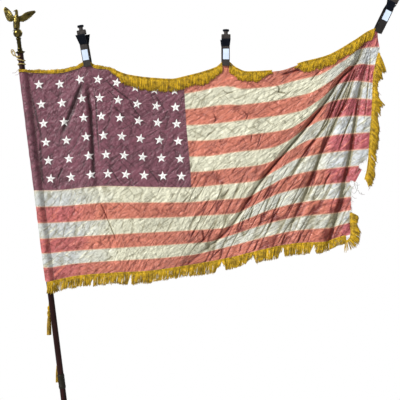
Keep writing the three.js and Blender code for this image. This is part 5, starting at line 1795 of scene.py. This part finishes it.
class FLAG_OT_clamps(bpy.types.Operator):
    """The three spring clamps that hold up the top edge"""
    bl_idname = "flag.clamps"
    bl_label = "Clamps"

    def execute(self, context):
        settings = context.scene.flag_clamps
        self.edge = settings.edge / MM
        steel, bare = settings.steel, settings.bare
        grip, label = settings.grip, settings.label
        fine = (120, 120, 120)
        self.finishes = {
            "clamp_steel": worn_surface("clamp_steel", steel, tone(steel, 0.55), fine, (0.35, 0.6), 0.5),
            "dark_steel": worn_surface("dark_steel", tone(steel, 0.2), tone(steel, 0.45), fine, (0.3, 0.5),
                                       0.5),
            "clamp_spring": worn_surface("spring_wire", bare, tone(bare, 0.7), (300, 300, 300), (0.25, 0.45),
                                         0.9),
            "black_plastic": worn_surface("black_grip", grip, tone(grip, 2.0), (200, 200, 200), (0.35, 0.6),
                                          relief=0.0004, Specular_IOR_Level=0.06),
            "label_paper": worn_surface("bare_label", label, tone(label, 0.85), (40, 40, 40), (0.4, 0.6),
                                        relief=0.0001),
        }
        for name, tip, lean, shift, rise, label_rise in CLAMPS:
            at = shifted(tip[0], 0, tip[1]) @ spun(lean, "Y")
            self.clamp(name, at, shift, rise, label_rise)
        return {"FINISHED"}

    def piece(self, name, part, finish, at, *solids):
        shape = Shape()
        for points, faces in solids:
            shape.add(points, faces, at)
        node = f"clamp_{name}_{part}"
        slot = "clamp_steel" if finish == "dark_steel" else finish
        settle(shape.build(f"{node}_shape", self.finishes[finish], 35), slot, node)

    def clamp(self, name, at, shift, rise, label_rise):
        top = 82 + max(rise * 0.5, label_rise * 0.75)
        arm = [(JAW_FRONT, 0), (JAW_FRONT - 3, 0), (-11, 12), (-15.5, 24), (-16.5, 52), (-18, top),
               (-15, top), (-13.5, 52), (-12.5, 26), (-8, 16), (JAW_FRONT, 14)]
        rim = [(-13, 27), (-16.8, 29), (-17.9, 54), (-19, top - 2), (-14.5, top - 2), (-13, 52)]
        low, high = top + 0.3, 112 + rise
        grip = [(-20.5, low), (-22.2, low + 10), (-23, high), (-16, high), (-14.6, high - 16), (-12.5, low)]
        for part, offset, outward in (("front", 0, -1), ("back", shift, 1)):
            face = list if part == "front" else mirrored
            splay = outward * GRIP_SPLAY * rise
            parts = [extruded(face(arm), ARM_WIDTH, offset, self.edge)]
            parts += [extruded(face(rim), RIM_WIDTH, offset + x, 0.4) for x in RIM_AT]
            parts += [extruded(self.tooth(outward, z), TOOTH_WIDTH, offset, 0.25) for z in TOOTH_HEIGHTS]
            finish = "dark_steel" if label_rise else "clamp_steel"
            self.piece(name, f"arm_{part}", finish, at, *parts, self.rivet(outward, offset, top))
            solids = [widened(extruded(face(grip), 1, 0, 0.03), low, high, splay, offset)]
            for height in np.arange(low + 5, high - 4, 3.6):
                depth = JAW_MIDDLE + outward * np.interp(height, (low, low + 10, high), (19.1, 20.8, 21.6))
                rib = [(depth - 0.8, height - 0.9), (depth + 0.8, height - 0.9), (depth + 0.8, height + 0.9),
                       (depth - 0.8, height + 0.9)]
                solids.append(widened(extruded(rib, 0.86, 0, 0.02), low, high, splay, offset))
            self.piece(name, f"grip_{part}", "black_plastic", at, *solids)
        self.spring(name, at)
        self.hanger(name, at, rise)
        lean_out = label_rise * 0.037
        label = [(y - lean_out, z + label_rise) for y, z in LABEL]
        self.piece(name, "label", "label_paper", at, extruded(label, 25, 0, 0.25))

    def hanger(self, name, at, rise):
        """The stem between the arms, the block with its two bolts, the neck with its ring, and the cap."""
        stem = extruded([(-4, 60), (2, 60), (2, 113 + rise), (-4, 113 + rise)], 16, 0, self.edge)
        block = extruded([(-12, 112.5), (9, 112.5), (9, 132), (-12, 132)], 38, 0, 1.4)
        neck = [(0, 131), (9, 131), (9, 135), (8.2, 136), (8.2, 139), (9, 140), (9, 145), (0, 145)]
        up = shifted(0, 0, rise)
        solids = [moved(block, up), moved(turned(neck, 40), up @ shifted(0, -1, 0))]
        head = turned([(0, 0), (3.4, 0), (3.4, 1.6), (2.6, 2.4), (0, 2.4)], 6)
        for x in (-12, 12):
            solids.append(moved(head, up @ shifted(x, -12, 122) @ spun(90, "X")))
        self.piece(name, "hanger", "clamp_steel", at, stem, *solids)
        low, high = 145.3 + rise, CLAMP_HEIGHT + rise
        cap = [(0, low)] + arc((12.5, low + 1), 1, -90, 0, 4)
        cap += arc((12.3, high - 1.2), 1.2, 0, 90, 5) + [(0, high)]
        self.piece(name, "cap", "black_plastic", at, turned(cap, 48))

    def rivet(self, outward, offset, top):
        head = turned([(0, 0), (3.2, 0), (2.9, 1.1), (1.6, 1.9), (0, 2.1)], 20)
        place = shifted(offset, JAW_MIDDLE + outward * 15.6, top - 5)
        return moved(head, place @ spun(-90 * outward, "X"))

    def tooth(self, outward, height):
        inner = JAW_FRONT if outward < 0 else JAW_BACK
        return [(inner, height + 0.8), (inner - outward * 0.5, height), (inner, height - 0.8),
                (inner + outward * 1.5, height - 0.8), (inner + outward * 1.5, height + 0.8)]

    def spring(self, name, at):
        shape = Shape()
        turn = np.linspace(0, SPRING_TURNS * 2 * math.pi, SPRING_TURNS * 20 + 1)
        across = -SPRING_WIDTH / 2 + SPRING_WIDTH * turn / turn[-1]
        coil = np.stack([across, JAW_MIDDLE + SPRING_RADIUS * np.cos(turn),
                         SPRING_HEIGHT + SPRING_RADIUS * np.sin(turn)], 1)
        add_strands(shape, coil[None], SPRING_WIRE, 8, matrix=at)
        half = [(0, 15.6), (2.4, 15.6), (3.2, 15), (3.2, 14.2), (2.2, 14)]
        pin = [(radius, -height) for radius, height in half] + half[::-1]
        lay = shifted(0, JAW_MIDDLE, SPRING_HEIGHT) @ spun(90, "Y")
        shape.add(*turned(pin, 24), at @ lay)
        settle(shape.build(f"clamp_{name}_spring_shape", self.finishes["clamp_spring"], 35), "clamp_spring",
               f"clamp_{name}_spring")


# ---------------- panel and run

OPERATORS = (FLAG_OT_stage, FLAG_OT_cords, FLAG_OT_canton, FLAG_OT_stripes, FLAG_OT_stars, FLAG_OT_stitching,
             FLAG_OT_fringe, FLAG_OT_threads, FLAG_OT_pole, FLAG_OT_finial, FLAG_OT_clamps)


class FLAG_PT_panel(bpy.types.Panel):
    """Every step of the flag, with its settings"""
    bl_idname = "FLAG_PT_panel"
    bl_label = "Tattered flag"
    bl_space_type = "VIEW_3D"
    bl_region_type = "UI"
    bl_category = "Flag"

    def draw(self, context):
        for group in GROUPS:
            settings = getattr(context.scene, group)
            box = self.layout.box()
            for name in settings.__annotations__:
                box.prop(settings, name)
        for operator in OPERATORS:
            self.layout.operator(operator.bl_idname)


CLASSES = (*GROUPS.values(), *OPERATORS, FLAG_PT_panel)


def register():
    for cls in CLASSES:
        bpy.utils.register_class(cls)
    for name, group in GROUPS.items():
        setattr(bpy.types.Scene, name, PointerProperty(type=group))


def unregister():
    for name in GROUPS:
        delattr(bpy.types.Scene, name)
    for cls in reversed(CLASSES):
        bpy.utils.unregister_class(cls)


def main():
    register()
    for operator in OPERATORS:
        group, step = operator.bl_idname.split(".")
        getattr(getattr(bpy.ops, group), step)()


if __name__ == "__main__":
    main()
